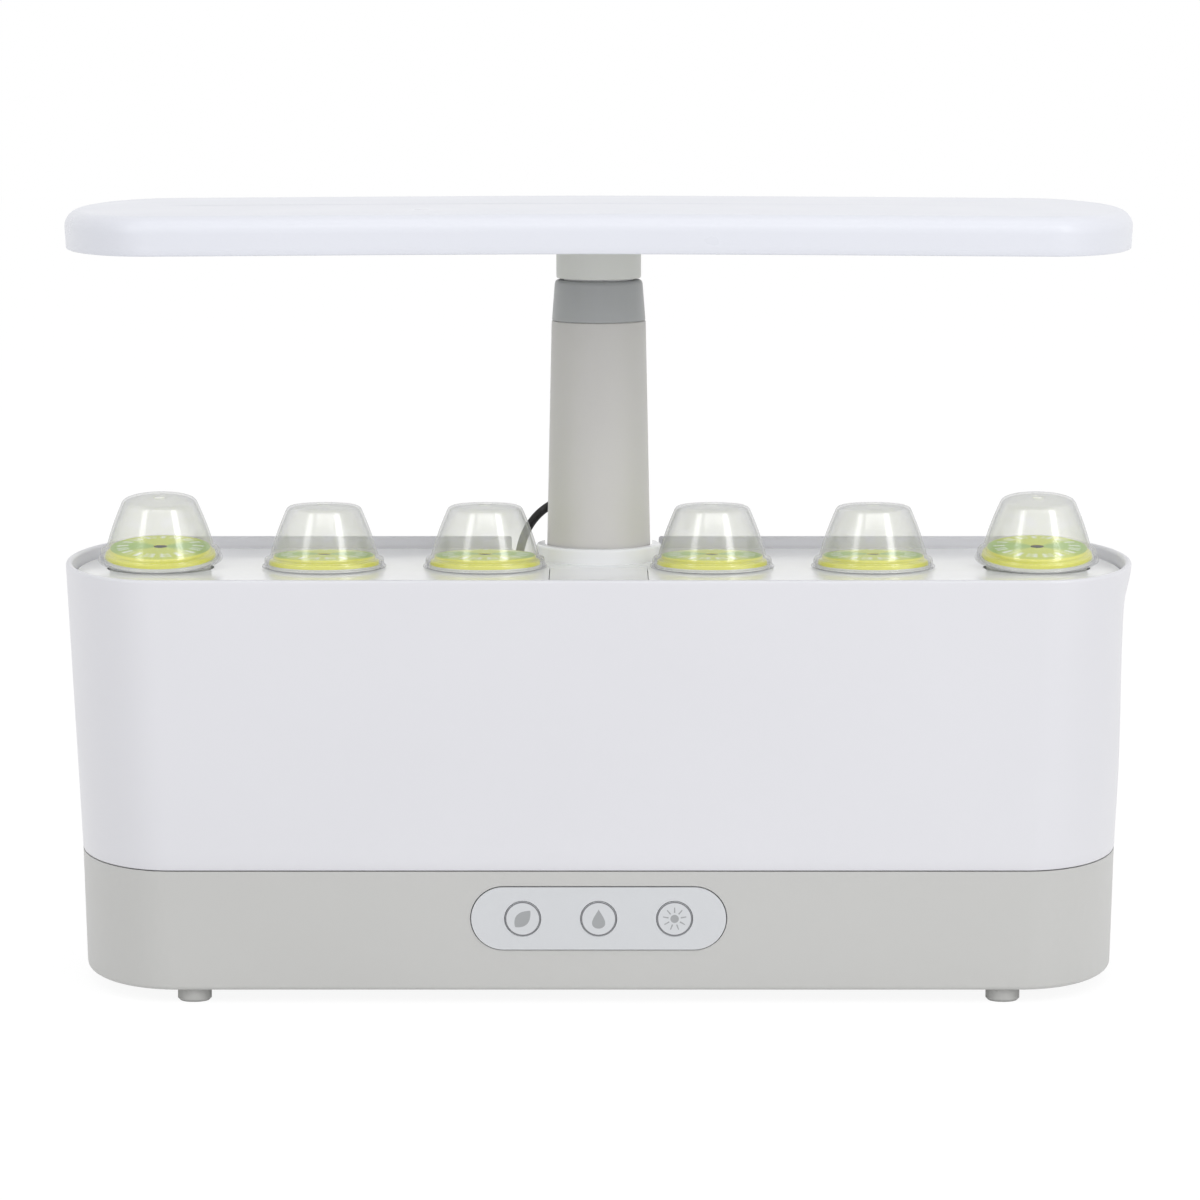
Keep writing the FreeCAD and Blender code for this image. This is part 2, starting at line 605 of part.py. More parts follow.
def make_controls():
    """Panel, buttons, switches, signal lamps and board, drawn flat and then leant back."""
    places = [("food", "-button_pitch"), ("water", "0"), ("light", "button_pitch")]
    face = stadium("panel_face_plate", "panel_half_width", "panel_radius",
                   "panel_proud + base_wall", "-base_wall")
    flange = stadium("panel_rear_flange", "panel_half_width + panel_flange",
                     "panel_radius + panel_flange", "panel_flange_thickness", "-panel_back")
    posts = [cylinder(f"panel_post_{side}_{end}", "standoff_radius", "board_front - panel_back",
                      (sx + "standoff_x", sy + "control_board_height / 3", "-board_front"))
             for side, sx in (("left", "-"), ("right", "")) for end, sy in (("low", "-"), ("high", ""))]
    holes = [cylinder(f"{word}_hole", "button_radius + button_gap", "3 * panel_back",
                      (x, "0", "-1.5 * panel_back")) for word, x in places]
    panel = cut("control_panel", joined("panel_blank", [face, flange] + posts), holes)
    on_panel(panel)
    for word, x in places:
        cap = cylinder(word + "_cap", "button_radius",
                       "button_proud + panel_proud + button_back", (x, "0", "-button_back"))
        skirt = cylinder(word + "_skirt", "button_flange", "button_flange_thickness",
                         (x, "0", "-button_back"))
        on_panel(joined(word + "_button", [cap, skirt]))
    switches = []
    lamps = []
    for word, x in places:
        base = block(word + "_switch_box", "switch_size", "switch_size", "switch_height",
                     (x, "0", "-board_front"))
        pin = cylinder(word + "_switch_pin", "switch_pin_radius",
                       "switch_pin_height + switch_height", (x, "0", "-board_front"))
        switches.append(joined(word + "_switch", [base, pin]))
        lamps.append(cylinder(word + "_lamp", "lamp_radius", "lamp_height",
                              (x + " + switch_size", "0", "-board_front")))
    on_panel(together("tact_switches", switches))
    on_panel(together("signal_lamps", lamps))
    board = block("control_board_blank", "control_board_width", "control_board_height",
                  "board_thickness", ("0", "0", "-board_front - board_thickness"))
    on_panel(together("control_board", [board]))


def make_inlet():
    """A round socket with a centre pin, open to the rear."""
    along_y = ((1, 0, 0), -90)
    start = "inlet_face + inlet_proud"
    barrel = cylinder("inlet_barrel", "inlet_radius", "inlet_length",
                      ("inlet_x", start + " - inlet_length", "inlet_z"), along_y)
    socket = tube("inlet_socket_space", "inlet_bore", "inlet_pin", "inlet_socket",
                  ("inlet_x", start + " - inlet_socket", "inlet_z"), along_y)
    cut("power_inlet", barrel, [socket])


def make_post():
    """Tapered sleeve, collar, friction bush and the inner tube that slides in them."""
    sleeve = turned("sleeve_blank", [
        ("sleeve_bore", "0"), ("sleeve_low", "0"), ("sleeve_top", "sleeve_height"),
        ("sleeve_bore", "sleeve_height")])
    put(sleeve, "0", "post_y", "base_top")
    hole = gland_cylinder("gland_hole", "gland_neck + close_gap", "sleeve_low")
    cut("post_sleeve", sleeve, [hole])
    collar = turned("post_collar", [
        ("sleeve_bore", "0"), ("sleeve_top", "0"), ("collar_top", "collar_height - collar_edge"),
        ("collar_top - collar_edge / 4", "collar_height - collar_edge / 3"),
        ("collar_top - collar_edge", "collar_height"), ("tube_radius + fit_gap", "collar_height"),
        ("tube_radius + fit_gap", "collar_height - collar_lip"),
        ("sleeve_bore", "collar_height - collar_lip")])
    put(collar, "0", "post_y", "sleeve_end")
    tube("friction_bush", "sleeve_bore - running_gap", "tube_radius + running_gap", "bush_height",
         ("0", "post_y", "collar_end - collar_lip - bush_height"))
    foot = "sleeve_bore - running_gap"
    inner = turned("inner_tube", [
        ("tube_radius - tube_wall", "0"), (foot, "0"), (foot, "tube_foot_height"),
        ("tube_radius", "tube_foot_height"),
        ("tube_radius", "light_board_low - base_top - tube_clearance"),
        ("tube_radius - tube_wall", "light_board_low - base_top - tube_clearance")])
    put(inner, "0", "post_y", "base_top + tube_clearance")


def gland_cylinder(name, radius, length, start="0"):
    """A level cylinder from the post's axis, pointing to the rear and a little to the left."""
    item = doc.addObject("Part::Cylinder", name)
    turn = size("gland_turn")
    heading = Rotation(Vector(0, 0, 1), turn).multiply(Rotation(Vector(1, 0, 0), -90))
    item.Placement = Placement(Vector(), heading)
    item.setExpression("Radius", link(radius))
    item.setExpression("Height", link(length))
    x = f"0 - ({start}) * sin(gland_turn * 1 deg)"
    y = f"post_y + ({start}) * cos(gland_turn * 1 deg)"
    return put(item, x, y, "gland_height")


def gland_end():
    """Where the lead leaves the gland."""
    ahead = math.radians(size("gland_turn"))
    reach = size("gland_reach")
    return Vector(-reach * math.sin(ahead), size("post_y") + reach * math.cos(ahead),
                  size("gland_height"))


def make_gland():
    """A collar outside the post with a neck that fills the hole in its wall."""
    neck = gland_cylinder("gland_stem", "gland_neck", "gland_seat - sleeve_bore + 2 * gland_stand",
                          "sleeve_bore")
    collar = gland_cylinder("gland_collar", "gland_radius", "gland_length - gland_stand",
                            "gland_seat + gland_stand")
    joined("lead_gland", [neck, collar])


def make_grommet():
    """A plug in the base's top that narrows towards the lead."""
    item = turned("lead_grommet", [
        ("0", "0 - base_roof"), ("grommet_neck", "0 - base_roof"), ("grommet_neck", "close_gap"),
        ("grommet_radius", "close_gap"), ("grommet_radius", "grommet_height / 3"),
        ("grommet_neck", "grommet_height"), ("0", "grommet_height")])
    put(item, "grommet_x", "grommet_y", "base_top")


def rounded_path(points):
    """Straight runs joined by tangent arcs, each as large as its two runs allow."""
    edges = []
    radii = []
    start = points[0]
    for before, corner, after in zip(points, points[1:], points[2:]):
        back = before - corner
        ahead = after - corner
        shorter = min(back.Length, ahead.Length)
        half_turn = (math.pi - back.getAngle(ahead)) / 2
        reach = ARC_SHARE * shorter
        radii.append(reach / math.tan(half_turn))
        back.normalize()
        ahead.normalize()
        first = corner + back * reach
        last = corner + ahead * reach
        inward = back + ahead
        inward.normalize()
        middle = corner + inward * (radii[-1] / math.cos(half_turn) - radii[-1])
        edges.append(Part.LineSegment(start, first).toShape())
        edges.append(Part.Arc(first, middle, last).toShape())
        start = last
    edges.append(Part.LineSegment(start, points[-1]).toShape())
    return Part.Wire(edges), radii


def make_lead():
    """The lamp lead: a round tube along its route, from the gland to the grommet."""
    end = Vector(size("grommet_x"), size("grommet_y"), size("base_top + grommet_height"))
    points = [gland_end()] + [Vector(*point) for point in LEAD_POINTS] + [end]
    path, radii = rounded_path(points)
    first = path.Edges[0]
    heading = first.tangentAt(first.FirstParameter)
    section = Part.Wire(Part.makeCircle(size("lead_radius"), points[0], heading))
    lead = path.makePipeShell([section], True, False)
    expected = math.pi * size("lead_radius") ** 2 * path.Length
    print("lead radii", [round(radius, 1) for radius in radii])
    print("lead length", round(path.Length, 1), "volume share", round(lead.Volume / expected, 4))
    part_feature("lamp_lead", lead)


def make_basin():
    """A drafted basin with a rounded rim, a ledge for the deck, and a notch round the post."""
    low_z, top_z = size("basin_low"), size("basin_top")
    floor_z, ledge_z = size("water_floor"), size("ledge_top")
    rim_wall = size("rim_wall")
    outside = drafted(outline_at(basin_flank, low_z, 0), outline_at(basin_flank, top_z, 0))
    water = drafted(outline_at(basin_flank, floor_z, size("basin_wall")),
                    outline_at(basin_flank, ledge_z, rim_wall + size("ledge")))
    seat = drafted(outline_at(basin_flank, ledge_z, rim_wall),
                   outline_at(basin_flank, top_z, rim_wall))
    water = water.cut(notch(size("notch_wall"), low_z, ledge_z))
    shell = outside.cut([water, seat, scoop()])
    shell = shell.makeFillet(size("rim_round"), level_edges(shell, top_z))
    axle = Part.makeCylinder(size("pump_shaft"), size("magnet_height + vane_height"),
                             Vector(size("pump_x"), size("pump_y"), floor_z - size("fit_gap")))
    over = size("overshoot")
    shell = shell.fuse(axle).cut(notch(0, low_z - over, top_z + over))
    part_feature("basin", shell.removeSplitter())


def scoop():
    """A shallow trough square to the leaning wall of the right end, under the rim."""
    half = size("grip_half_length")
    z = size("grip_height")
    lean = math.atan2(size("rim_width - seam_width"), size("basin_height"))
    reach = size("grip_radius - grip_depth")
    middle = Vector(basin_flank(z)[0] + reach * math.cos(lean), -half, z - reach * math.sin(lean))
    return Part.makeCylinder(size("grip_radius"), 2 * half, middle, Vector(0, 1, 0))


def make_pump():
    """Motor and drive magnet in the base, impeller and cover in the basin above them."""
    x, y = "pump_x", "pump_y"
    body = cylinder("motor_body", "motor_radius", "motor_height", (x, y, "motor_low"))
    shaft = cylinder("motor_shaft", "pump_shaft", "shaft_end - motor_low", (x, y, "motor_low"))
    joined("pump_motor", [body, shaft])
    tube("drive_magnet", "magnet_radius", "pump_shaft + running_gap", "magnet_height",
         (x, y, "magnet_low"))
    magnet = cylinder("impeller_magnet", "magnet_radius", "magnet_height", (x, y, "impeller_low"))
    vanes = [primitive("Box", f"impeller_vane_{number}", (x, y, "impeller_low"),
                       ((0, 0, 1), 360 * number / VANES), Length="magnet_radius", Width="vane_thickness",
                       Height="magnet_height + vane_height") for number in range(VANES)]
    hub = cylinder("impeller_hub", "pump_shaft + vane_thickness",
                   "magnet_height + vane_height", (x, y, "impeller_low"))
    bore = cylinder("impeller_bore", "pump_shaft + running_gap",
                    "3 * magnet_height", (x, y, "impeller_low - overshoot"))
    cut("pump_impeller", joined("impeller_blank", [magnet, hub] + vanes), [bore])
    make_pump_cover(x, y)
    tube("outlet_tube", "outlet_radius", "outlet_bore", "deck_low - fit_gap - cover_end",
         (x + " + outlet_shift", y, "cover_end"))


def make_pump_cover(x, y):
    """A cup upside down over the impeller, with a ring of intakes and a mouth for the tube."""
    turns = [2 * math.pi * number / INTAKES for number in range(INTAKES)]
    cup = cylinder("cover_cup", "pump_cover_radius", "pump_cover_height", (x, y, "water_floor"))
    room = cylinder("cover_room", "pump_cover_radius - pump_cover_wall",
                    "pump_cover_height - pump_cover_wall", (x, y, "water_floor"))
    mouth = cylinder("cover_mouth", "outlet_bore", "2 * pump_cover_height",
                     (x + " + outlet_shift", y, "water_floor"))
    intakes = [primitive("Cylinder", f"cover_intake_{number}",
                         (x, y, "water_floor + intake_radius + basin_floor"),
                         ((-math.sin(turn), math.cos(turn), 0), 90),
                         Radius="intake_radius", Height="2 * pump_cover_radius")
               for number, turn in enumerate(turns)]
    cut("pump_cover", cup, [room, mouth] + intakes)


def make_float():
    """A ring-shaped float in a cage that lets it rise."""
    place = ("float_x", "float_y", "water_floor + fit_gap")
    tube("level_float", "float_radius", "float_bore", "float_height", place)
    cage = turned("float_cage", [
        ("cage_radius", "0"), ("cage_radius + cage_wall", "0"),
        ("cage_radius + cage_wall", "cage_height + cage_wall"),
        ("float_bore", "cage_height + cage_wall"), ("float_bore", "cage_height"),
        ("cage_radius", "cage_height")])
    put(cage, "float_x", "float_y", "water_floor")


def make_deck():
    """The plate inside the rim, with pod holes, a ring round the post and the lid's rebate."""
    low_z, top_z = size("deck_low"), size("deck_top")
    inset = size("rim_wall") + size("fit_gap")
    plate = drafted(outline_at(basin_flank, low_z, inset), outline_at(basin_flank, top_z, inset))
    ring_end = top_z + size("ring_height")
    post_y = size("post_y")
    ring = Part.makeCylinder(size("ring_radius"), ring_end - low_z, Vector(0, post_y, low_z))
    ring = ring.makeFillet(size("ring_edge"), level_edges(ring, ring_end))
    left = size("lead_notch_reach") - size("fit_gap")
    front = size("lead_notch_front")
    rear = size("rim_depth")
    below = low_z - size("overshoot")
    tall = 2 * size("ring_height + deck_thickness")
    bore = Part.makeCylinder(size("ring_bore"), tall, Vector(0, post_y, below))
    way = Part.makeBox(2 * size("ring_bore"), rear, tall, Vector(-size("ring_bore"), post_y, below))
    side = Part.makeBox(left, rear, tall, Vector(-left, front, below))
    holes = [Part.makeCylinder(size("pod_hole"), 4 * size("deck_thickness"),
                               Vector(size(x), size("pod_y"), low_z - size("deck_thickness")))
             for x, lean in POD_PLACES]
    deck = plate.fuse(ring).cut([bore, way, side] + holes + lid_space())
    part_feature("grow_deck", deck.removeSplitter())


def lid_space():
    """The rebate that the filling lid lies in, its pins' sockets, and the port under it."""
    gap = size("fit_gap")
    half = size("lid_half_width") + gap
    front, rear = -size("lid_front") - gap, size("lid_rear") + gap
    top_z = size("lid_top")
    depth = size("lid_thickness") + gap
    tall = size("ring_height")
    rebate = Part.makeBox(2 * half, rear - front, tall, Vector(-half, front, top_z - depth))
    ledge = size("lid_ledge")
    port = Part.makeBox(2 * (half - ledge), rear - front - 2 * ledge, 4 * tall,
                        Vector(ledge - half, front + ledge, top_z - 2 * tall))
    reach = half + size("lid_pin_length")
    pins = Part.makeCylinder(size("lid_pin") + size("running_gap"), 2 * reach,
                             Vector(-reach, lid_pin_y(), lid_pin_z()), Vector(1, 0, 0))
    clear = size("lid_pin") + gap
    knuckle = Part.makeCylinder(clear, 2 * half, Vector(-half, lid_pin_y(), lid_pin_z()),
                                Vector(1, 0, 0))
    return [rebate, port, pins, knuckle]


def lid_pin_y():
    """How far the lid's hinge is to the rear."""
    return size("lid_rear - lid_pin")


def lid_pin_z():
    """Height of the lid's hinge."""
    return size("lid_top - lid_pin")


def make_lid():
    """The filling lid, with two hinge pins and a finger notch."""
    half = size("lid_half_width")
    front, rear = -size("lid_front"), lid_pin_y()
    low_z = size("lid_top - lid_thickness")
    plate = Part.makeBox(2 * half, rear - front, size("lid_thickness"), Vector(-half, front, low_z))
    reach = half + size("fit_gap") + size("lid_pin_length") - size("close_gap")
    pins = Part.makeCylinder(size("lid_pin"), 2 * reach, Vector(-reach, rear, lid_pin_z()),
                             Vector(1, 0, 0))
    finger = Part.makeCylinder(size("lid_notch"), 3 * size("lid_thickness"),
                               Vector(0, front, low_z - size("lid_thickness")))
    part_feature("fill_lid", plate.fuse(pins).cut(finger).removeSplitter())


def make_pod(number, x, lean):
    """Basket, sponge, label and dome of one pod, drawn about the pod's own axis."""
    pod = f"_{number}"
    inner_low = "basket_low - basket_wall"
    basket = turned("basket_blank" + pod, [
        ("basket_outlet", "0 - basket_depth"), ("basket_low", "0 - basket_depth"),
        ("basket_top", "0"), ("basket_flange", "0"), ("basket_flange", "basket_flange_height"),
        ("basket_rim", "basket_flange_height"), ("basket_rim", "basket_end"),
        ("basket_top - basket_wall", "basket_end"),
        (inner_low, "basket_wall - basket_depth"), ("basket_outlet", "basket_wall - basket_depth")])
    slots = [block(f"basket_slot_{way}{pod}", length, width, "slot_height",
                   ("0", "0", "4 * basket_wall - basket_depth"))
             for way, length, width in (("across", "3 * basket_low", "slot_width"),
                                        ("along", "slot_width", "3 * basket_low"))]
    basket = cut("basket" + pod, basket, slots)
    sponge_low = "basket_wall - basket_depth"
    sponge_end = "basket_end - sponge_top_gap"
    sponge = turned("sponge" + pod, [
        ("0", sponge_low), ("sponge_low", sponge_low), ("sponge_top", sponge_end),
        ("0", sponge_end)])
    label_mid = "label_radius - (label_radius - label_bore) / 2"
    label = turned("label" + pod, [
        ("label_bore", "basket_end + label_rise"), ("basket_rim", "basket_end"),
        ("label_radius", "basket_end"), ("label_radius", "basket_end + label_thickness"),
        (label_mid, "basket_end + label_thickness + 0.8 * label_rise"),
        ("label_bore", "basket_end + label_thickness + label_rise")])
    dome = make_dome(pod)
    for item in (basket, sponge, label, dome):
        seat_pod(item, x, lean)


def make_dome(pod):
    """A clear dome with a flange, a skirt over the basket's rim and bell-shaped sides."""
    inner = {name: f"{name} - dome_wall" for name in
             ("dome_skirt", "dome_foot", "dome_belly", "dome_shoulder", "dome_top",
              "dome_skirt_height", "dome_height", "dome_shoulder_height")}
    return turned("dome" + pod, [
        (inner["dome_skirt"], "0"), ("dome_flange", "0"), ("dome_flange", "dome_flange_height"),
        ("dome_skirt", "dome_flange_height"), ("dome_skirt", "dome_skirt_height"),
        ("dome_foot", "dome_skirt_height"), ("dome_belly", "dome_belly_height"),
        ("dome_shoulder", "dome_shoulder_height"), ("dome_top", "dome_height"), ("0", "dome_height"),
        ("0", inner["dome_height"]), (inner["dome_top"], inner["dome_height"]),
        (inner["dome_shoulder"], inner["dome_shoulder_height"]),
        (inner["dome_belly"], "dome_belly_height"),
        (inner["dome_foot"], inner["dome_skirt_height"]),
        (inner["dome_skirt"], inner["dome_skirt_height"])])


def seat_pod(item, x, lean):
    """Stands a pod's piece in its hole; a leaning pod tips about its flange's front edge."""
    if lean == "0":
        return put(item, x, "pod_y", "pod_seat")
    item.Placement = Placement(Vector(), Rotation(Vector(1, 0, 0), 1))
    item.setExpression("Placement.Rotation.Angle", link("pod_lean * 1 deg"))
    y = "pod_y - dome_flange + dome_flange * cos(pod_lean * 1 deg)"
    z = "pod_seat + dome_flange * sin(pod_lean * 1 deg)"
    return put(item, x, y, z)


def hood_outline(z, inset):
    """The hood's outline at a height, drawn in by an inset."""
    low = (size("hood_low_width"), size("hood_low_depth"), size("hood_low"))
    top = (size("hood_width"), size("hood_depth"), size("hood_low + hood_height"))
    half_width, half_depth = straight_between(low, top, z)
    return (half_width - inset, half_depth - inset, size("hood_end_reach") - inset, z)


def make_hood():
    """The hood's shell, with screw posts and a seat for the hub's flange."""
    low_z, top_z = size("hood_low"), size("hood_low + hood_height")
    ceiling = size("hood_ceiling")
    wall = size("hood_wall")
    outside = drafted(hood_outline(low_z, 0), hood_outline(top_z, 0))
    outside = outside.makeFillet(size("hood_edge"), level_edges(outside, top_z))
    inside = drafted(hood_outline(low_z, wall), hood_outline(ceiling, wall))
    inside = inside.makeFillet(size("hood_edge") - wall, level_edges(inside, ceiling))
    shell = outside.cut(inside)
    screw_low = size("diffuser_end")
    posts = [Part.makeCylinder(size("boss_radius"), ceiling - screw_low + wall / 2, Vector(x, y, screw_low))
             for x, y in screw_places("hood_screw_x", "hood_screw_y")]
    bores = [Part.makeCylinder(size("screw_shank") + size("close_gap"),
                               size("screw_length"), Vector(x, y, low_z))
             for x, y in screw_places("hood_screw_x", "hood_screw_y")]
    seat = Part.makeCylinder(size("hub_flange"), ceiling - size("flange_end") + wall / 2,
                             Vector(0, size("post_y"), size("flange_end")))
    room = Part.makeCylinder(size("tube_radius") + size("fit_gap"), ceiling - size("flange_end"),
                             Vector(0, size("post_y"), size("flange_end")))
    shell = shell.fuse(posts + [seat]).cut(bores + [room])
    part_feature("hood_shell", shell.removeSplitter())


def make_light():
    """Hub, clear diffuser, light board and its chips."""
    hub = turned("hood_hub", [
        ("tube_radius + running_gap", "collar_end + hub_gap"),
        ("hub_radius", "collar_end + hub_gap"),
        ("hub_radius", "flange_low"), ("hub_flange", "flange_low"), ("hub_flange", "flange_end"),
        ("tube_radius + running_gap", "flange_end")])
    put(hub, "0", "post_y", "0")
    low_z, top_z = size("diffuser_low"), size("diffuser_end")
    inset = size("hood_wall") + size("fit_gap")
    sheet_shape = drafted(hood_outline(low_z, inset), hood_outline(top_z, inset))
    hub_hole = Part.makeCylinder(size("hub_radius") + size("fit_gap"), 3 * size("board_gap"),
                                 Vector(0, size("post_y"), low_z - size("board_gap")))
    bores = [Part.makeCylinder(size("screw_shank") + size("close_gap"), size("board_gap") * 2,
                               Vector(x, y, low_z - size("board_gap")))
             for x, y in screw_places("hood_screw_x", "hood_screw_y")]
    part_feature("light_diffuser", sheet_shape.cut([hub_hole] + bores))
    inset = size("board_margin")
    low_z = size("light_board_low")
    board = drafted(hood_outline(low_z, inset), hood_outline(low_z + size("board_thickness"), inset))
    room = Part.makeCylinder(size("hub_flange") + size("fit_gap"), 3 * size("board_thickness"),
                             Vector(0, size("post_y"), low_z - size("board_thickness")))
    clear = [Part.makeCylinder(size("boss_radius") + size("fit_gap"), 3 * size("board_thickness"),
                               Vector(x, y, low_z - size("board_thickness")))
             for x, y in screw_places("hood_screw_x", "hood_screw_y")]
    part_feature("light_board", board.cut([room] + clear))
    make_chips()


def make_chips():
    """Light chips under the board, in rows, with none where the hub's flange is."""
    chips = []
    clear = size("hub_flange + chip_size")
    for row in CHIP_ROWS:
        for column in CHIP_COLUMNS:
            x, y = f"{column} * chip_pitch_x", f"{row} * chip_pitch_y"
            if math.hypot(size(x), size(y) - size("post_y")) < clear:
                continue
            name = f"chip_{row - CHIP_ROWS[0]}_{column - CHIP_COLUMNS[0]}"
            chips.append(block(name, "chip_size", "chip_size", "chip_height",
                               (x, y, "light_board_low - chip_height")))
    together("light_chips", chips)


NODES = (["base_housing", "bottom_cover", "rubber_feet", "base_screws", "control_panel",
          "control_board", "tact_switches", "signal_lamps", "food_button", "water_button",
          "light_button", "power_inlet", "pump_motor", "drive_magnet", "post_sleeve",
          "post_collar", "friction_bush", "lead_gland", "lead_grommet", "lamp_lead",
          "basin", "pump_cover", "pump_impeller", "outlet_tube", "level_float", "float_cage",
          "grow_deck", "fill_lid", "inner_tube", "hood_hub", "hood_shell", "hood_screws",
          "light_diffuser", "light_board", "light_chips"]
         + [f"{piece}_{number}" for piece in ("basket", "sponge", "label", "dome")
            for number in range(1, 7)])


def build():
    """Makes every sub-part."""
    fill_sheet()
    make_base_housing()
    make_bottom_cover()
    make_feet()
    screws("base_screws", "base_screw_x", "base_screw_y", "foot_height")
    make_controls()
    make_inlet()
    make_post()
    make_gland()
    make_grommet()
    make_lead()
    make_basin()
    make_pump()
    make_float()
    make_deck()
    make_lid()
    for number, (x, lean) in enumerate(POD_PLACES, 1):
        make_pod(number, x, lean)
    make_hood()
    make_light()
    screws("hood_screws", "hood_screw_x", "hood_screw_y", "diffuser_low - screw_head_height")
    doc.recompute()


def check():
    """Stops if any object failed or any sub-part's shape is empty or broken."""
    bad = [item.Name for item in doc.Objects if {"Invalid", "Error"} & set(item.State)]
    for name in NODES:
        shape = doc.getObject(name).Shape
        if shape.isNull() or not shape.isValid() or not shape.Solids:
            bad.append(name)
    if bad:
        raise SystemExit("failed: " + ", ".join(bad))


def write():
    """Writes one file for each sub-part."""
    os.makedirs("parts", exist_ok=True)
    for name in NODES:
        doc.getObject(name).Shape.exportStep(f"parts/{name}.step")


build()
check()
write()
print(len(NODES), "sub-parts written")
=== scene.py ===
"""Countertop hydroponic garden: the looks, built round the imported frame.

Metres, in the frame's own axes: +X to the right, +Y to the rear, +Z up, origin on the table.
"""
import logging
import math
from dataclasses import dataclass, field
from enum import Enum
from typing import Sequence

import bmesh
import bpy
import numpy as np
from mathutils import Matrix


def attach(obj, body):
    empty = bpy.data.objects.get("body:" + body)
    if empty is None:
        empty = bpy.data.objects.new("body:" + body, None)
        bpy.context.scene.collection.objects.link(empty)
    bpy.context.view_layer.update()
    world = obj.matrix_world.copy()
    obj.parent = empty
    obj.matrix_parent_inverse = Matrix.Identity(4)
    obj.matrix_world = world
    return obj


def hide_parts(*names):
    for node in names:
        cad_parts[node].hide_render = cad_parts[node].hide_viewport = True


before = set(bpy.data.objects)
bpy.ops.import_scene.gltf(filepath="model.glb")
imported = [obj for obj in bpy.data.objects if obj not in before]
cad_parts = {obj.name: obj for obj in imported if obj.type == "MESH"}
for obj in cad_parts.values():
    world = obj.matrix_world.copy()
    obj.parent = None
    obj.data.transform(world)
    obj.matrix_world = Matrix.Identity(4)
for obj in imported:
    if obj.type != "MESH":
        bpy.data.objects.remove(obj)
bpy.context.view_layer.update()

log = logging.getLogger("garden")
MM = 0.001
Colour = tuple[float, float, float]


class Stop(Enum):
    """How a swept outline is closed at one of its ends."""

    OPEN = "open"
    FLAT = "flat"


class Value:
    """A number or a colour in a material's nodes; arithmetic on numbers adds Math nodes."""

    def __init__(self, paint: "Paint", socket: bpy.types.NodeSocket) -> None:
        """Wraps one output socket.

        Args:
            paint: the material that the socket is in.
            socket: the output socket.
        """
        self.paint = paint
        self.socket = socket

    def _maths(self, operation: str, first: "Value | float", second: "Value | float") -> "Value":
        """Adds a Math node with two inputs."""
        return self.paint.node("ShaderNodeMath", {"operation": operation}, {0: first, 1: second})

    def __add__(self, other: "Value | float") -> "Value":
        """Sum."""
        return self._maths("ADD", self, other)

    __radd__ = __add__

    def __sub__(self, other: "Value | float") -> "Value":
        """Difference."""
        return self._maths("SUBTRACT", self, other)

    def __rsub__(self, other: "Value | float") -> "Value":
        """Difference, the other way round."""
        return self._maths("SUBTRACT", other, self)

    def __mul__(self, other: "Value | float") -> "Value":
        """Product."""
        return self._maths("MULTIPLY", self, other)

    __rmul__ = __mul__

    def __pow__(self, other: "Value | float") -> "Value":
        """Power."""
        return self._maths("POWER", self, other)

    def apart(self, other: "Value | float") -> "Value":
        """Distance from another number."""
        return self._maths("ABSOLUTE", self - other, 0.0)

    def sine(self) -> "Value":
        """Sine of an angle in radians."""
        return self._maths("SINE", self, 0.0)

    def ramp(self, low: float, high: float) -> "Value":
        """A smooth step.

        Args:
            low: where the step starts, at 0.
            high: where it ends, at 1.

        Returns:
            0 before low, 1 past high, and a smooth curve between them.
        """
        settings = {"interpolation_type": "SMOOTHSTEP"}
        return self.paint.node("ShaderNodeMapRange", settings, {0: self, 1: low, 2: high})


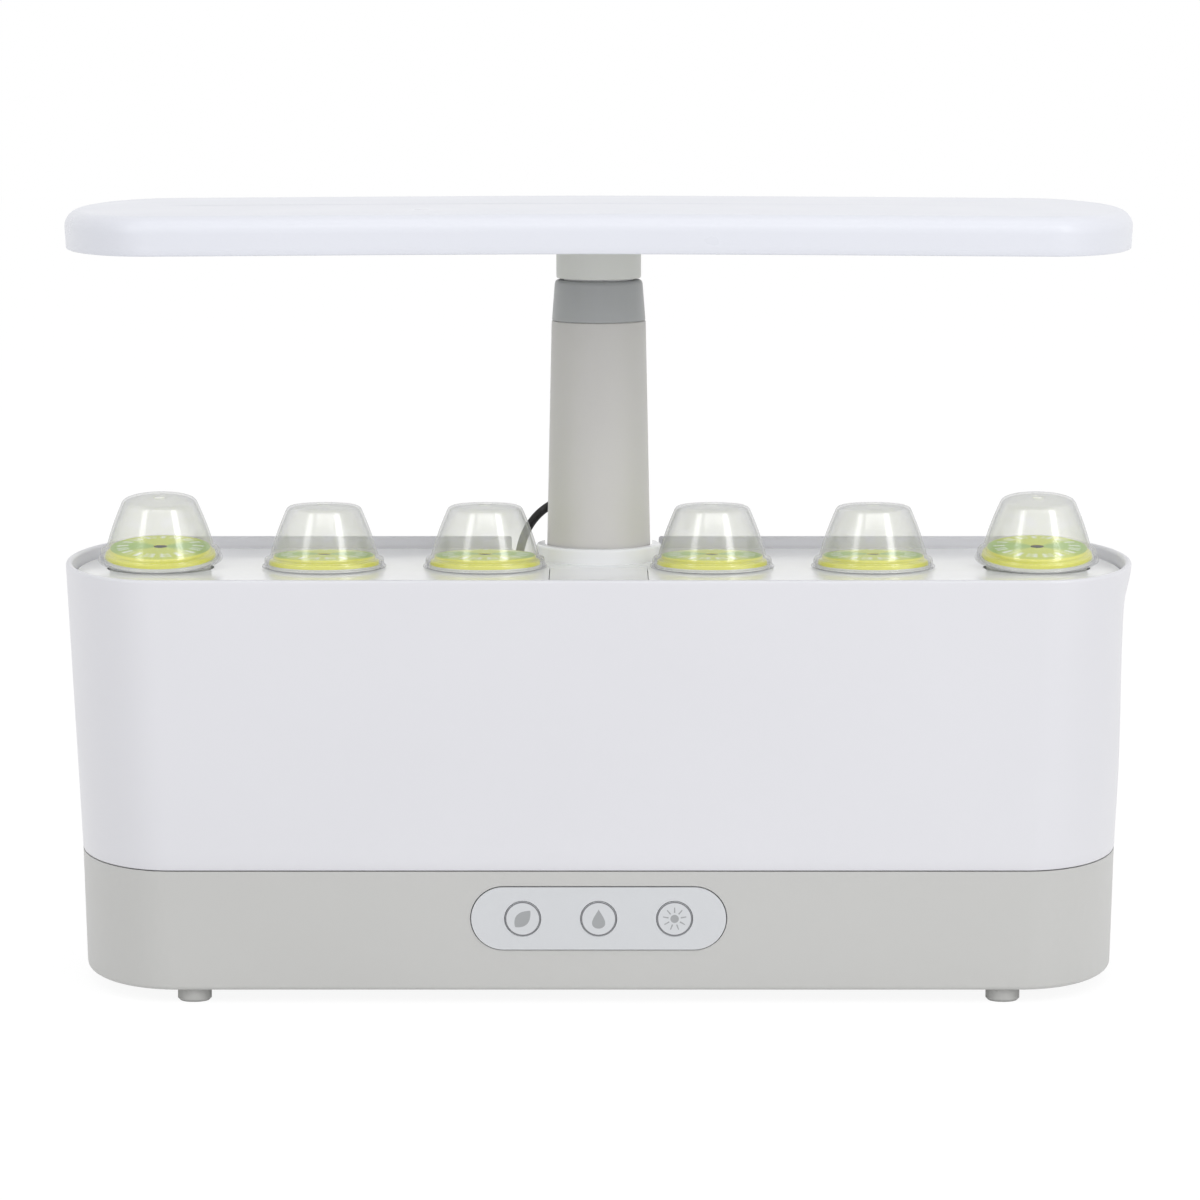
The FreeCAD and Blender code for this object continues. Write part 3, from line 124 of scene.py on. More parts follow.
class Paint:
    """Builds the node tree of one material, or of the world."""

    def __init__(self, name: str, world: bool = False) -> None:
        """Starts an empty tree with its output.

        Args:
            name: the material's or the world's name.
            world: whether the tree is a world's.
        """
        self.holder = (bpy.data.worlds if world else bpy.data.materials).new(name)
        self.holder.use_nodes = True
        self.tree = self.holder.node_tree
        self.tree.nodes.clear()
        self.output = self.tree.nodes.new("ShaderNodeOutputWorld" if world
                                          else "ShaderNodeOutputMaterial")

    def node(self, kind: str, settings: dict | None = None, inputs: dict | None = None,
             output: int | str = 0) -> Value:
        """Adds any node.

        Args:
            kind: the node's type.
            settings: its properties, or the stops of its ramp, which are set first.
            inputs: values or links by the socket's name or number.
            output: which output the result stands for.

        Returns:
            The chosen output.
        """
        made = self.tree.nodes.new(kind)
        for name, setting in (settings or {}).items():
            if name == "stops":
                self._stops(made.color_ramp, setting)
            else:
                setattr(made, name, setting)
        for name, given in (inputs or {}).items():
            if isinstance(given, Value):
                self.tree.links.new(given.socket, made.inputs[name])
            else:
                made.inputs[name].default_value = given
        return Value(self, made.outputs[output])

    @staticmethod
    def _stops(ramp: bpy.types.ColorRamp, stops: Sequence[tuple[float, Colour]]) -> None:
        """Fills a colour ramp with its stops."""
        while len(ramp.elements) < len(stops):
            ramp.elements.new(1.0)
        for element, (position, colour) in zip(ramp.elements, stops):
            element.position = position
            element.color = (*colour, 1.0)

    def place(self) -> Value:
        """Object coordinates, which here are metres in the row's frame."""
        return self.node("ShaderNodeTexCoord", output="Object")

    def along(self, axis: str) -> Value:
        """One of the object coordinates, X, Y or Z."""
        return self.node("ShaderNodeSeparateXYZ", None, {0: self.place()}, axis)

    def uv(self, axis: str) -> Value:
        """One coordinate of the piece's own UV map, X or Y."""
        spot = self.node("ShaderNodeTexCoord", output="UV")
        return self.node("ShaderNodeSeparateXYZ", None, {0: spot}, axis)

    def noise(self, scale: float, detail: float = 2.0,
              stretch: Sequence[float] = (1, 1, 1)) -> Value:
        """Soft noise from 0 to 1.

        Args:
            scale: features to the metre.
            detail: how many finer layers it has.
            stretch: how much closer the features are along each axis.

        Returns:
            The noise.
        """
        spot = self.node("ShaderNodeMapping", None, {"Vector": self.place(), "Scale": stretch})
        return self.node("ShaderNodeTexNoise", None,
                         {"Vector": spot, "Scale": scale, "Detail": detail})

    def mixed(self, share: Value | float, first: Colour | Value, second: Colour | Value) -> Value:
        """A colour between two others.

        Args:
            share: 0 for the first and 1 for the second.
            first: a colour, linear.
            second: a colour, linear.

        Returns:
            The mixed colour.
        """
        pair = [given if isinstance(given, Value) else (*given, 1.0) for given in (first, second)]
        return self.node("ShaderNodeMix", {"data_type": "RGBA"},
                         {"Factor": share, 6: pair[0], 7: pair[1]}, 2)

    def surface(self, bump: Value | None = None, depth: float = 0.0, **sockets: object) -> None:
        """Ends the tree in a Principled surface.

        Args:
            bump: a height from 0 to 1, if the surface has relief.
            depth: what a height of 1 stands for, in metres.
            sockets: the shader's sockets, with spaces written as underscores.
        """
        inputs = {name.replace("_", " "): given for name, given in sockets.items()}
        if bump is not None:
            inputs["Normal"] = self.node("ShaderNodeBump", None,
                                         {"Height": bump, "Distance": depth})
        self.end(self.node("ShaderNodeBsdfPrincipled", None, inputs))

    def end(self, shader: Value) -> None:
        """Links a shader to the tree's output."""
        self.tree.links.new(shader.socket, self.output.inputs["Surface"])

    def seen(self) -> Value:
        """1 for rays of the camera and of mirrors and clear pieces, 0 for light on the object."""
        camera, mirror, clear = (self.node("ShaderNodeLightPath", output=f"Is {kind} Ray")
                                 for kind in ("Camera", "Glossy", "Transmission"))
        either = self.node("ShaderNodeMath", {"operation": "MAXIMUM"}, {0: camera, 1: mirror})
        return self.node("ShaderNodeMath", {"operation": "MAXIMUM"}, {0: either, 1: clear})


def linear(red: int, green: int, blue: int) -> Colour:
    """Turns a display colour of 0 to 255 into a linear one.

    Args:
        red: red, 0 to 255.
        green: green, 0 to 255.
        blue: blue, 0 to 255.

    Returns:
        The linear colour.
    """
    shares = np.array([red, green, blue]) / 255
    return tuple(np.where(shares <= 0.04045, shares / 12.92, ((shares + 0.055) / 1.055) ** 2.4))


@dataclass(frozen=True)
class Moulded:
    """Moulded plastic: a slow drift of colour and sheen, over a fine spark-eroded grain."""

    name: str
    colour: Colour
    roughness: float = 0.35
    drift: float = 0.03
    grain: float = 0.004 * MM
    grain_scale: float = 1500.0
    specular: float = 0.5

    def material(self) -> bpy.types.Material:
        """Builds the material."""
        paint = Paint(self.name)
        slow = paint.noise(7.0)
        darker = tuple(part * (1 - 2 * self.drift) for part in self.colour)
        colour = paint.mixed(slow, darker, self.colour)
        sheen = paint.noise(35.0, 4.0)
        paint.surface(paint.noise(self.grain_scale, 3.0), self.grain, Base_Color=colour,
                      Roughness=self.roughness + (sheen - 0.5) * 0.12,
                      Specular_IOR_Level=self.specular)
        return paint.holder


@dataclass(frozen=True)
class ClearPlastic:
    """Thin clear plastic: nearly unseen face on, denser edge on, with a sharp sheen over it."""

    name: str
    tint: Colour
    through: float = 0.95
    face: float = 0.05
    edge: float = 0.75
    gloss: float = 0.06
    roughness: float = 0.07
    blend: float = 0.35
    cover_power: float = 2.4
    edge_gloss: float = 0.16
    gloss_power: float = 4.0

    def material(self) -> bpy.types.Material:
        """Mixes see-through and tinted plastic by the angle of view, and the two with a mirror."""
        paint = Paint(self.name)
        facing = paint.node("ShaderNodeLayerWeight", None, {"Blend": self.blend}, "Facing")
        haze = paint.noise(60.0, 3.0)
        ripple = paint.node("ShaderNodeBump", None, {"Height": paint.noise(260.0, 1.0),
                                                     "Distance": 0.004 * MM})
        clear = paint.node("ShaderNodeBsdfTransparent", None, {"Color": (*[self.through] * 3, 1.0)})
        tinted = paint.node("ShaderNodeBsdfPrincipled", None,
                            {"Base Color": (*self.tint, 1.0), "Roughness": 0.3, "Normal": ripple})
        mirror = paint.node("ShaderNodeBsdfPrincipled", None,
                            {"Base Color": (1.0, 1.0, 1.0, 1.0), "Metallic": 1.0,
                             "Roughness": self.roughness + haze * 0.05, "Normal": ripple})
        denser = (self.edge - self.face) * facing ** self.cover_power
        cover = self.face + denser + (haze - 0.5) * 0.03
        wall = paint.node("ShaderNodeMixShader", None, {0: cover, 1: clear, 2: tinted})
        sheen = self.gloss + self.edge_gloss * facing ** self.gloss_power
        both = paint.node("ShaderNodeMixShader", None, {0: sheen, 1: wall, 2: mirror})
        paint.end(both)
        return paint.holder


@dataclass(frozen=True)
class Sponge:
    """Growing sponge: brown peat foam, with open pores whose pits are painted darker as shade."""

    name: str
    light: Colour
    dark: Colour

    def material(self) -> bpy.types.Material:
        """Builds the material: clumps of darker and lighter peat, with painted shade in the pore
        pits.
        """
        paint = Paint(self.name)
        pores = paint.node("ShaderNodeTexVoronoi", None, {"Vector": paint.place(), "Scale": 900.0})
        clumps = paint.noise(260.0, 5.0)
        pore_relief_and_shade = pores.ramp(0.05, 0.55)
        # The colour darkens towards the pore centres as painted shade in the pits, and with the
        # clumps as the peat's own tone.
        paint.surface(pore_relief_and_shade * (0.5 + clumps), 0.5 * MM, Roughness=0.95,
                      Base_Color=paint.mixed(pore_relief_and_shade * clumps, self.dark, self.light))
        return paint.holder


@dataclass(frozen=True)
class Label:
    """Printed card ring: lime in front and behind, green at the sides, with a ring of ticks.

    The UV map has the turn round the ring along X and the way from bore to edge along Y.
    """

    name: str
    lime: Colour
    green: Colour
    edge: Colour
    ink: Colour
    ticks: int = 29
    gaps: int = 17
    strokes: int = 61
    stroke_lean: float = 260.0

    def material(self) -> bpy.types.Material:
        """Builds the material."""
        paint = Paint(self.name)
        turn = paint.uv("X")
        out = paint.uv("Y")
        side = ((turn * (4 * math.pi) + math.pi / 2).sine() * 0.5 + 0.5).ramp(0.35, 0.95)
        fibre = paint.noise(900.0, 4.0)
        field_colour = paint.mixed(side, self.lime, self.green)
        field_colour = paint.mixed(fibre * 0.12, field_colour, self.green)
        ring = out.apart(0.28).ramp(0.06, 0.045)
        beat = (turn * (2 * math.pi * self.ticks)).sine()
        beat = beat + (turn * (2 * math.pi * self.gaps)).sine()
        slant = (turn * (2 * math.pi * self.strokes) + out * self.stroke_lean).sine()
        marked = paint.mixed(ring * (beat + slant).ramp(0.2, 0.7) * 0.85, field_colour, self.ink)
        rim = out.ramp(0.385, 0.395)
        paint.surface(fibre, 0.01 * MM, Base_Color=paint.mixed(rim, marked, self.edge),
                      Roughness=0.42 + fibre * 0.1)
        return paint.holder


@dataclass(frozen=True)
class Sheath:
    """Black cable sheath: dull, with a faint drag along its length."""

    name: str
    colour: Colour

    def material(self) -> bpy.types.Material:
        """Builds the material."""
        paint = Paint(self.name)
        scuff = paint.noise(220.0, 5.0)
        worn = tuple(part * 2.6 + 0.01 for part in self.colour)
        paint.surface(paint.noise(1400.0, 3.0), 0.01 * MM, Roughness=0.42 + scuff * 0.25,
                      Base_Color=paint.mixed(scuff.ramp(0.45, 0.8), self.colour, worn))
        return paint.holder


@dataclass(frozen=True)
class Metal:
    """Drawn or turned metal, with fine lines along one axis."""

    name: str
    colour: Colour
    roughness: float = 0.3
    lines: tuple[float, float, float] = (1.0, 1.0, 0.02)

    def material(self) -> bpy.types.Material:
        """Builds the material."""
        paint = Paint(self.name)
        drawn = paint.noise(2400.0, 2.0, self.lines)
        darker = tuple(part * 0.8 for part in self.colour)
        paint.surface(drawn, 0.004 * MM, Metallic=1.0, Roughness=self.roughness + drawn * 0.15,
                      Base_Color=paint.mixed(drawn, darker, self.colour))
        return paint.holder


@dataclass(frozen=True)
class Board:
    """Circuit board: solder mask with faint tracks under it."""

    name: str
    mask: Colour
    track: Colour

    def material(self) -> bpy.types.Material:
        """Builds the material."""
        paint = Paint(self.name)
        cells = paint.node("ShaderNodeTexVoronoi",
                           {"feature": "DISTANCE_TO_EDGE", "distance": "EUCLIDEAN"},
                           {"Vector": paint.place(), "Scale": 70.0})
        track = cells.ramp(0.06, 0.02)
        paint.surface(track, 0.03 * MM, Roughness=0.35 + paint.noise(300.0) * 0.1,
                      Base_Color=paint.mixed(track, self.mask, self.track))
        return paint.holder


WHITE = Moulded("white_plastic", linear(225, 225, 230), 0.32)
HOOD_WHITE = Moulded("hood_plastic", linear(226, 228, 236), 0.3)
GREY = Moulded("base_plastic", linear(199, 199, 197), 0.42, grain=0.006 * MM)
PANEL_GREY = Moulded("panel_plastic", linear(212, 214, 217), 0.3)
SLEEVE_GREY = Moulded("sleeve_plastic", linear(216, 214, 212), 0.44, grain=0.006 * MM)
# The hub's colour is painted lighter than its real plastic, as light in the shade under the hood.
HUB_GREY_PAINTED_LIGHTER = Moulded("hub_plastic_painted_lighter", linear(230, 231, 228), 0.44)
COLLAR_GREY = Moulded("collar_plastic", linear(180, 182, 184), 0.38)
DECK_MILK = Moulded("deck_plastic", linear(248, 249, 251), 0.16, grain=0.001 * MM, specular=0.6)
INK = Moulded("panel_ink", linear(118, 119, 123), 0.5)
ICON_INK = Moulded("icon_ink", linear(164, 166, 168), 0.5)
BLACK = Moulded("black_plastic", linear(34, 34, 36), 0.45)
NATURAL = Moulded("basket_plastic", linear(224, 226, 220), 0.4, specular=0.4)
ACETAL = Moulded("bush_plastic", linear(230, 228, 218), 0.35)
FERRITE = Moulded("ferrite", linear(58, 58, 62), 0.6)
RUBBER = Moulded("foot_rubber", linear(186, 186, 184), 0.7, grain=0.02 * MM)
CHIP = Moulded("light_chip", linear(246, 232, 160), 0.3)
CLEAR = ClearPlastic("clear_dome", linear(172, 173, 178), through=0.98, face=0.05, edge=0.74,
                     gloss=0.07, roughness=0.15)
CLEAR_SHEET = ClearPlastic("clear_sheet", linear(226, 228, 230), through=0.92, face=0.3, edge=0.8,
                           gloss=0.04, roughness=0.2)
CARD = Label("pod_label", linear(208, 220, 30), linear(152, 192, 52), linear(236, 236, 70),
             linear(240, 246, 232))
FOAM = Sponge("growing_sponge", linear(150, 140, 124), linear(70, 62, 52))
CABLE = Sheath("cable_sheath", (0.012, 0.012, 0.013))
ANODISED = Metal("inner_tube_metal", (0.62, 0.62, 0.63))
STEEL = Metal("screw_steel", (0.6, 0.6, 0.58), 0.32, (1.0, 1.0, 1.0))
GREEN_BOARD = Board("control_board", linear(24, 84, 48), linear(50, 120, 72))
WHITE_BOARD = Board("light_board", linear(232, 232, 228), linear(214, 214, 208))


class Workshop:
    """Makes materials once, and turns arrays into finished pieces."""

    def __init__(self) -> None:
        """Starts with no materials made."""
        self.made: dict[str, bpy.types.Material] = {}

    def material(self, finish: object) -> bpy.types.Material:
        """The material of a finish, made the first time it is asked for.

        Args:
            finish: one of the finishes above.

        Returns:
            The material.
        """
        if finish.name not in self.made:
            self.made[finish.name] = finish.material()
        return self.made[finish.name]

    def piece(self, name: str, rows: np.ndarray, finish: object, body: str,
              replaces: Sequence[str] = (), ends: tuple[Stop, Stop] = (Stop.FLAT, Stop.FLAT),
              sharp: float = 40.0) -> bpy.types.Object:
        """A closed outline carried through rows: face k, j joins rows k and k + 1 at point j.

        Args:
            name: the piece's name.
            rows: points of shape (rows, points round the outline, 3).
            finish: its finish.
            body: the body that it rides on.
            replaces: the frame's nodes that it stands for.
            ends: how the first and the last row are closed.
            sharp: the angle in degrees past which an edge stays sharp.

        Returns:
            The piece.
        """
        count, around = rows.shape[:2]
        index = np.arange(count * around).reshape(count, around)
        after = np.roll(index, -1, axis=1)
        quads = np.stack([index[:-1], after[:-1], after[1:], index[1:]], axis=-1).reshape(-1, 4)
        faces = quads.tolist()
        if ends[0] is Stop.FLAT:
            faces.append(index[0][::-1].tolist())
        if ends[1] is Stop.FLAT:
            faces.append(index[-1].tolist())
        mesh = bpy.data.meshes.new(name)
        mesh.from_pydata(rows.reshape(-1, 3).tolist(), [], faces)
        self._ring_uv(mesh, rows)
        return self.finish_mesh(name, mesh, finish, body, replaces, sharp)

    @staticmethod
    def _ring_uv(mesh: bpy.types.Mesh, rows: np.ndarray) -> None:
        """UV of the swept faces: the turn along X, and the share of the rows' run along Y."""
        count, around = rows.shape[:2]
        steps = np.linalg.norm(np.diff(rows[:, 0], axis=0), axis=-1)
        run = np.concatenate([[0.0], np.cumsum(steps)])
        share = run / run[-1]
        turn = np.tile(np.arange(around), count - 1)
        across = np.stack([turn, turn + 1, turn + 1, turn], axis=-1) / around
        low, top = np.repeat(share[:-1], around), np.repeat(share[1:], around)
        along = np.stack([low, low, top, top], axis=-1)
        spots = np.zeros((len(mesh.loops), 2))
        spots[: across.size] = np.stack([across, along], axis=-1).reshape(-1, 2)
        layer = mesh.uv_layers.new(name="UVMap")
        layer.data.foreach_set("uv", spots.ravel())

    def finish_mesh(self, name: str, mesh: bpy.types.Mesh, finish: object, body: str,
                    replaces: Sequence[str] = (), sharp: float = 40.0) -> bpy.types.Object:
        """Shades a mesh, gives it its finish and lets it ride on its body.

        Args:
            name: the piece's name.
            mesh: its mesh, in place.
            finish: its finish.
            body: the body that it rides on.
            replaces: the frame's nodes that it stands for.
            sharp: the angle in degrees past which an edge stays sharp.

        Returns:
            The piece.
        """
        mesh.validate()
        mesh.shade_smooth()
        mesh.set_sharp_from_angle(angle=math.radians(sharp))
        mesh.materials.append(self.material(finish))
        piece = bpy.data.objects.new(name, mesh)
        bpy.context.scene.collection.objects.link(piece)
        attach(piece, body)
        if replaces:
            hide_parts(*replaces)
        log.info("%s: %d faces on %s", name, len(mesh.polygons), body)
        return piece

    def turned(self, name: str, profile: np.ndarray, finish: object, body: str,
               replaces: Sequence[str] = (), seat: Matrix = Matrix.Identity(4),
               segments: int = 128, sharp: float = 40.0) -> bpy.types.Object:
        """A profile of radius and height turned about Z, then put in its seat.

        Args:
            name: the piece's name.
            profile: pairs of radius and height; a profile of a ring closes on itself.
            finish: its finish.
            body: the body that it rides on.
            replaces: the frame's nodes that it stands for.
            seat: where the piece's own axis stands.
            segments: steps round the turn.
            sharp: the angle in degrees past which an edge stays sharp.

        Returns:
            The piece.
        """
        closed = bool(np.allclose(profile[0], profile[-1]))
        ends = (Stop.OPEN, Stop.OPEN) if closed else (Stop.FLAT, Stop.FLAT)
        turn = np.linspace(0, 2 * math.pi, segments, endpoint=False)
        radius, height = profile[:, 0, None], profile[:, 1, None]
        rows = np.stack([radius * np.cos(turn), radius * np.sin(turn), height + 0 * turn], axis=-1)
        return self.piece(name, moved(rows, seat), finish, body, replaces, ends, sharp)

    def copied(self, name: str, node: str, finish: object, body: str,
               sharp: float = 30.0) -> bpy.types.Object:
        """A smooth-shaded copy of a node of the frame, with its doubles merged.

        Args:
            name: the piece's name.
            node: the node that it is copied from and stands for.
            finish: its finish.
            body: the body that it rides on.
            sharp: the angle in degrees past which an edge stays sharp.

        Returns:
            The piece.
        """
        mesh = bpy.data.meshes.new(name)
        work = bmesh.new()
        work.from_mesh(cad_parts[node].data)
        bmesh.ops.remove_doubles(work, verts=work.verts, dist=0.002 * MM)
        work.to_mesh(mesh)
        work.free()
        piece = self.finish_mesh(name, mesh, finish, body, (node,), sharp)
        mesh.normals_split_custom_set(weighted_normals(mesh, sharp).tolist())
        return piece


def weighted_normals(mesh: bpy.types.Mesh, sharp: float) -> np.ndarray:
    """Corner normals that keep broad faces flat where small rounded faces meet them.

    Each is the sum of area times normal over the faces at that point that lie within the angle.

    Args:
        mesh: the mesh.
        sharp: the angle in degrees past which faces do not share a normal.

    Returns:
        One unit normal for each corner of each face.
    """
    faces, loops = len(mesh.polygons), len(mesh.loops)
    normals, areas = np.empty(faces * 3), np.empty(faces)
    mesh.polygons.foreach_get("normal", normals)
    mesh.polygons.foreach_get("area", areas)
    normals = normals.reshape(-1, 3)
    spots, sizes = np.empty(loops, int), np.empty(faces, int)
    mesh.loops.foreach_get("vertex_index", spots)
    mesh.polygons.foreach_get("loop_total", sizes)
    owner = np.repeat(np.arange(faces), sizes)
    order = np.argsort(spots, kind="stable")
    out = np.empty((loops, 3))
    limit = math.cos(math.radians(sharp))
    for group in np.split(order, np.nonzero(np.diff(spots[order]))[0] + 1):
        own = normals[owner[group]]
        near = (own @ own.T > limit) * areas[owner[group]]
        out[group] = near @ own
    return out / np.maximum(np.linalg.norm(out, axis=1, keepdims=True), 1e-30)


def moved(points: np.ndarray, seat: Matrix) -> np.ndarray:
    """Points carried from their own axes to their seat.

    Args:
        points: an array whose last axis is X, Y, Z.
        seat: the place and turn of those axes.

    Returns:
        The points in the row's frame.
    """
    turn = np.array(seat.to_3x3())
    return points @ turn.T + np.array(seat.to_translation())


def eased(corners: Sequence[tuple[float, float, float]], closed: bool = False,
          steps: int = 6) -> np.ndarray:
    """A profile whose corners are rounded: each corner (r, z, ease) becomes a short curve.

    The curve is a quadratic one from ease before the corner to ease past it.

    Args:
        corners: radius, height and how far the easing reaches along each side.
        closed: whether the profile ends where it started.
        steps: points on each eased corner.

    Returns:
        Pairs of radius and height.
    """
    spots = np.array([corner[:2] for corner in corners], float)
    count = len(spots)
    share = np.linspace(0, 1, steps)[:, None]
    out = []
    for number, (*_, ease) in enumerate(corners):
        inner = closed or 0 < number < count - 1
        if ease <= 0 or not inner:
            out.append(spots[number][None])
            continue
        ends = []
        for other in (spots[number - 1], spots[(number + 1) % count]):
            way = other - spots[number]
            length = np.linalg.norm(way)
            ends.append(spots[number] + way / length * min(ease, 0.48 * length))
        first, last = ends
        out.append((1 - share) ** 2 * first + 2 * share * (1 - share) * spots[number]
                   + share ** 2 * last)
    if closed:
        out.append(out[0][:1])
    return np.concatenate(out)


def oval(half_width: float, half_depth: float, reach: float, around: int = 64,
         along: int = 24) -> np.ndarray:
    """Outline of two straight sides and two half-ellipse ends, anticlockwise from the front right.

    Args:
        half_width: half the length along X.
        half_depth: half the depth along Y.
        reach: how far each end's half ellipse reaches along X.
        around: points on each end.
        along: points on each side.

    Returns:
        Pairs of X and Y.
    """
    straight = half_width - reach
    turn = np.linspace(-math.pi / 2, math.pi / 2, around, endpoint=False)
    end = np.stack([straight + reach * np.cos(turn), half_depth * np.sin(turn)], axis=-1)
    side = np.linspace(straight, -straight, along, endpoint=False)
    rear = np.stack([side, half_depth + 0 * side], axis=-1)
    half = np.concatenate([end, rear])
    return np.concatenate([half, -half])


def stadium(half_width: float, radius: float, around: int = 48) -> np.ndarray:
    """Outline of a slot with round ends, anticlockwise.

    Args:
        half_width: half the whole length along X.
        radius: half the height along Y.
        around: points on each end.

    Returns:
        Pairs of X and Y.
    """
    turn = np.linspace(-math.pi / 2, math.pi / 2, around)
    end = np.stack([half_width - radius + radius * np.cos(turn), radius * np.sin(turn)], axis=-1)
    return np.concatenate([end, -end])


def lifted(outline: np.ndarray, height: float | np.ndarray) -> np.ndarray:
    """Gives a flat outline its height.

    Args:
        outline: pairs of X and Y.
        height: one height, or one for each point.

    Returns:
        Points of X, Y and Z.
    """
    level = np.zeros((len(outline), 1)) + np.reshape(height, (-1, 1))
    return np.concatenate([outline, level], axis=1)


def smooth(value: np.ndarray, low: float, high: float) -> np.ndarray:
    """A smooth step: 0 before low, 1 past high, 3t^2 - 2t^3 between them."""
    share = np.clip((value - low) / (high - low), 0, 1)
    return share * share * (3 - 2 * share)


@dataclass
class Basin:
    """The white water basin: a drafted shell whose rear notch goes round the post."""

    shop: Workshop
    seam: tuple[float, float] = (195.5 * MM, 67.2 * MM)
    rim: tuple[float, float] = (200.8 * MM, 73.3 * MM)
    reach: float = 38.0 * MM
    low: float = 50.6 * MM
    top: float = 159.0 * MM
    floor: float = 2.6 * MM
    low_wall: float = 3.0 * MM
    rim_wall: float = 2.6 * MM
    rim_round: float = 1.2 * MM
    ledge: float = 3.0 * MM
    ledge_top: float = 152.3 * MM
    post_y: float = 36.0 * MM
    notch_radius: float = 23.5 * MM
    lead_reach: float = 34.0 * MM
    lead_front: float = 52.0 * MM
    lip_depth: float = 1.9 * MM
    lip_low: float = 143.0 * MM
    lip_fade: float = 72.0 * MM

    def flank(self, z: float) -> tuple[float, float]:
        """Half width and half depth of the outer wall, which runs straight from seam to rim."""
        share = (z - self.low) / (self.top - self.low)
        return tuple(s + share * (r - s) for s, r in zip(self.seam, self.rim))

    def outline(self, z: float, inset: float) -> np.ndarray:
        """The wall's outline at a height, drawn in by an inset; the notch grows by the same.

        Args:
            z: the height.
            inset: how far inside the outer face.

        Returns:
            Points of X, Y and Z, anticlockwise from the notch's left rear corner.
        """
        width, depth = self.flank(z)
        width, depth, reach = width - inset, depth - inset, self.reach - inset
        straight = width - reach
        radius, left = self.notch_radius + inset, self.lead_reach + inset
        front = self.lead_front - inset

        def line(start: tuple[float, float], end: tuple[float, float], count: int) -> np.ndarray:
            """A straight stretch without its last point."""
            return np.linspace(start, end, count, endpoint=False)

        def curve(centre: tuple[float, float], reaches: tuple[float, float], start: float,
                  end: float, count: int) -> np.ndarray:
            """A stretch of an ellipse without its last point, between two angles in degrees."""
            turn = np.radians(np.linspace(start, end, count, endpoint=False))
            return np.array(centre) + np.stack([reaches[0] * np.cos(turn),
                                                reaches[1] * np.sin(turn)], axis=-1)

        wall = [line((-left, depth), (-straight, depth), 12),
                curve((-straight, 0), (reach, depth), 90, 270, 72),
                line((-straight, -depth), (straight, -depth), 30),
                curve((straight, 0), (reach, depth), -90, 90, 72),
                line((straight, depth), (radius, depth), 12),
                np.array([[radius, depth]])]
        notch = [line((radius, depth - 0.01 * MM), (radius, self.post_y), 8),
                 curve((0, self.post_y), (radius, radius), 0, -180, 48),
                 line((-radius, self.post_y), (-radius, front), 4),
                 line((-radius, front), (-left, front), 4),
                 line((-left, front), (-left, depth), 6)]
        wall, notch = np.concatenate(wall), np.concatenate(notch)
        wall_points = lifted(wall, z)
        if inset < self.rim_wall / 2:
            wall_points[:, 0] -= self.scooped(wall_points)
        return np.concatenate([wall_points, lifted(notch, min(z, self.ledge_top - 0.2 * MM))])

    def scooped(self, points: np.ndarray) -> np.ndarray:
        """How far the right end is drawn in below its lip, deepest under the lip and fading down."""
        x, y, z = points.T
        under = smooth(-z, -self.top + 1.5 * MM, -self.lip_low)
        fading = smooth(z, self.lip_fade, self.lip_low)
        return self.lip_depth * under * fading * smooth(-np.abs(y), -48 * MM, -14 * MM) * (x > 0.15)

    def build(self) -> None:
        """Outer wall up to the rounded rim, over it, and down inside to the ledge and the floor."""
        ease = self.rim_round
        turn = np.linspace(0, math.pi / 2, 7)
        foot = 0.5 * MM
        outer = [(self.low, foot), (self.low + 0.3 * foot, 0.3 * foot), (self.low + foot, 0.0)]
        outer += [(z, 0.0) for z in np.linspace(self.low + 4 * MM, self.top - ease, 40)[:-1]]
        outer += list(zip(self.top - ease + ease * np.sin(turn), ease - ease * np.cos(turn)))
        far = self.rim_wall - ease
        inner = list(zip(self.top - ease + ease * np.cos(turn), far + ease * np.sin(turn)))
        inner += [(self.ledge_top + 0.2 * MM, self.rim_wall),
                  (self.ledge_top, self.rim_wall + 0.2 * MM),
                  (self.ledge_top, self.rim_wall + self.ledge)]
        floor_z = self.low + self.floor
        inner += [(floor_z + 3 * MM, self.low_wall), (floor_z + 0.8 * MM, self.low_wall + 0.8 * MM),
                  (floor_z, self.low_wall + 3 * MM)]
        rows = np.stack([self.outline(z, inset) for z, inset in outer + inner])
        self.shop.piece("water_basin", rows, WHITE, "tank", ("basin",), sharp=50.0)


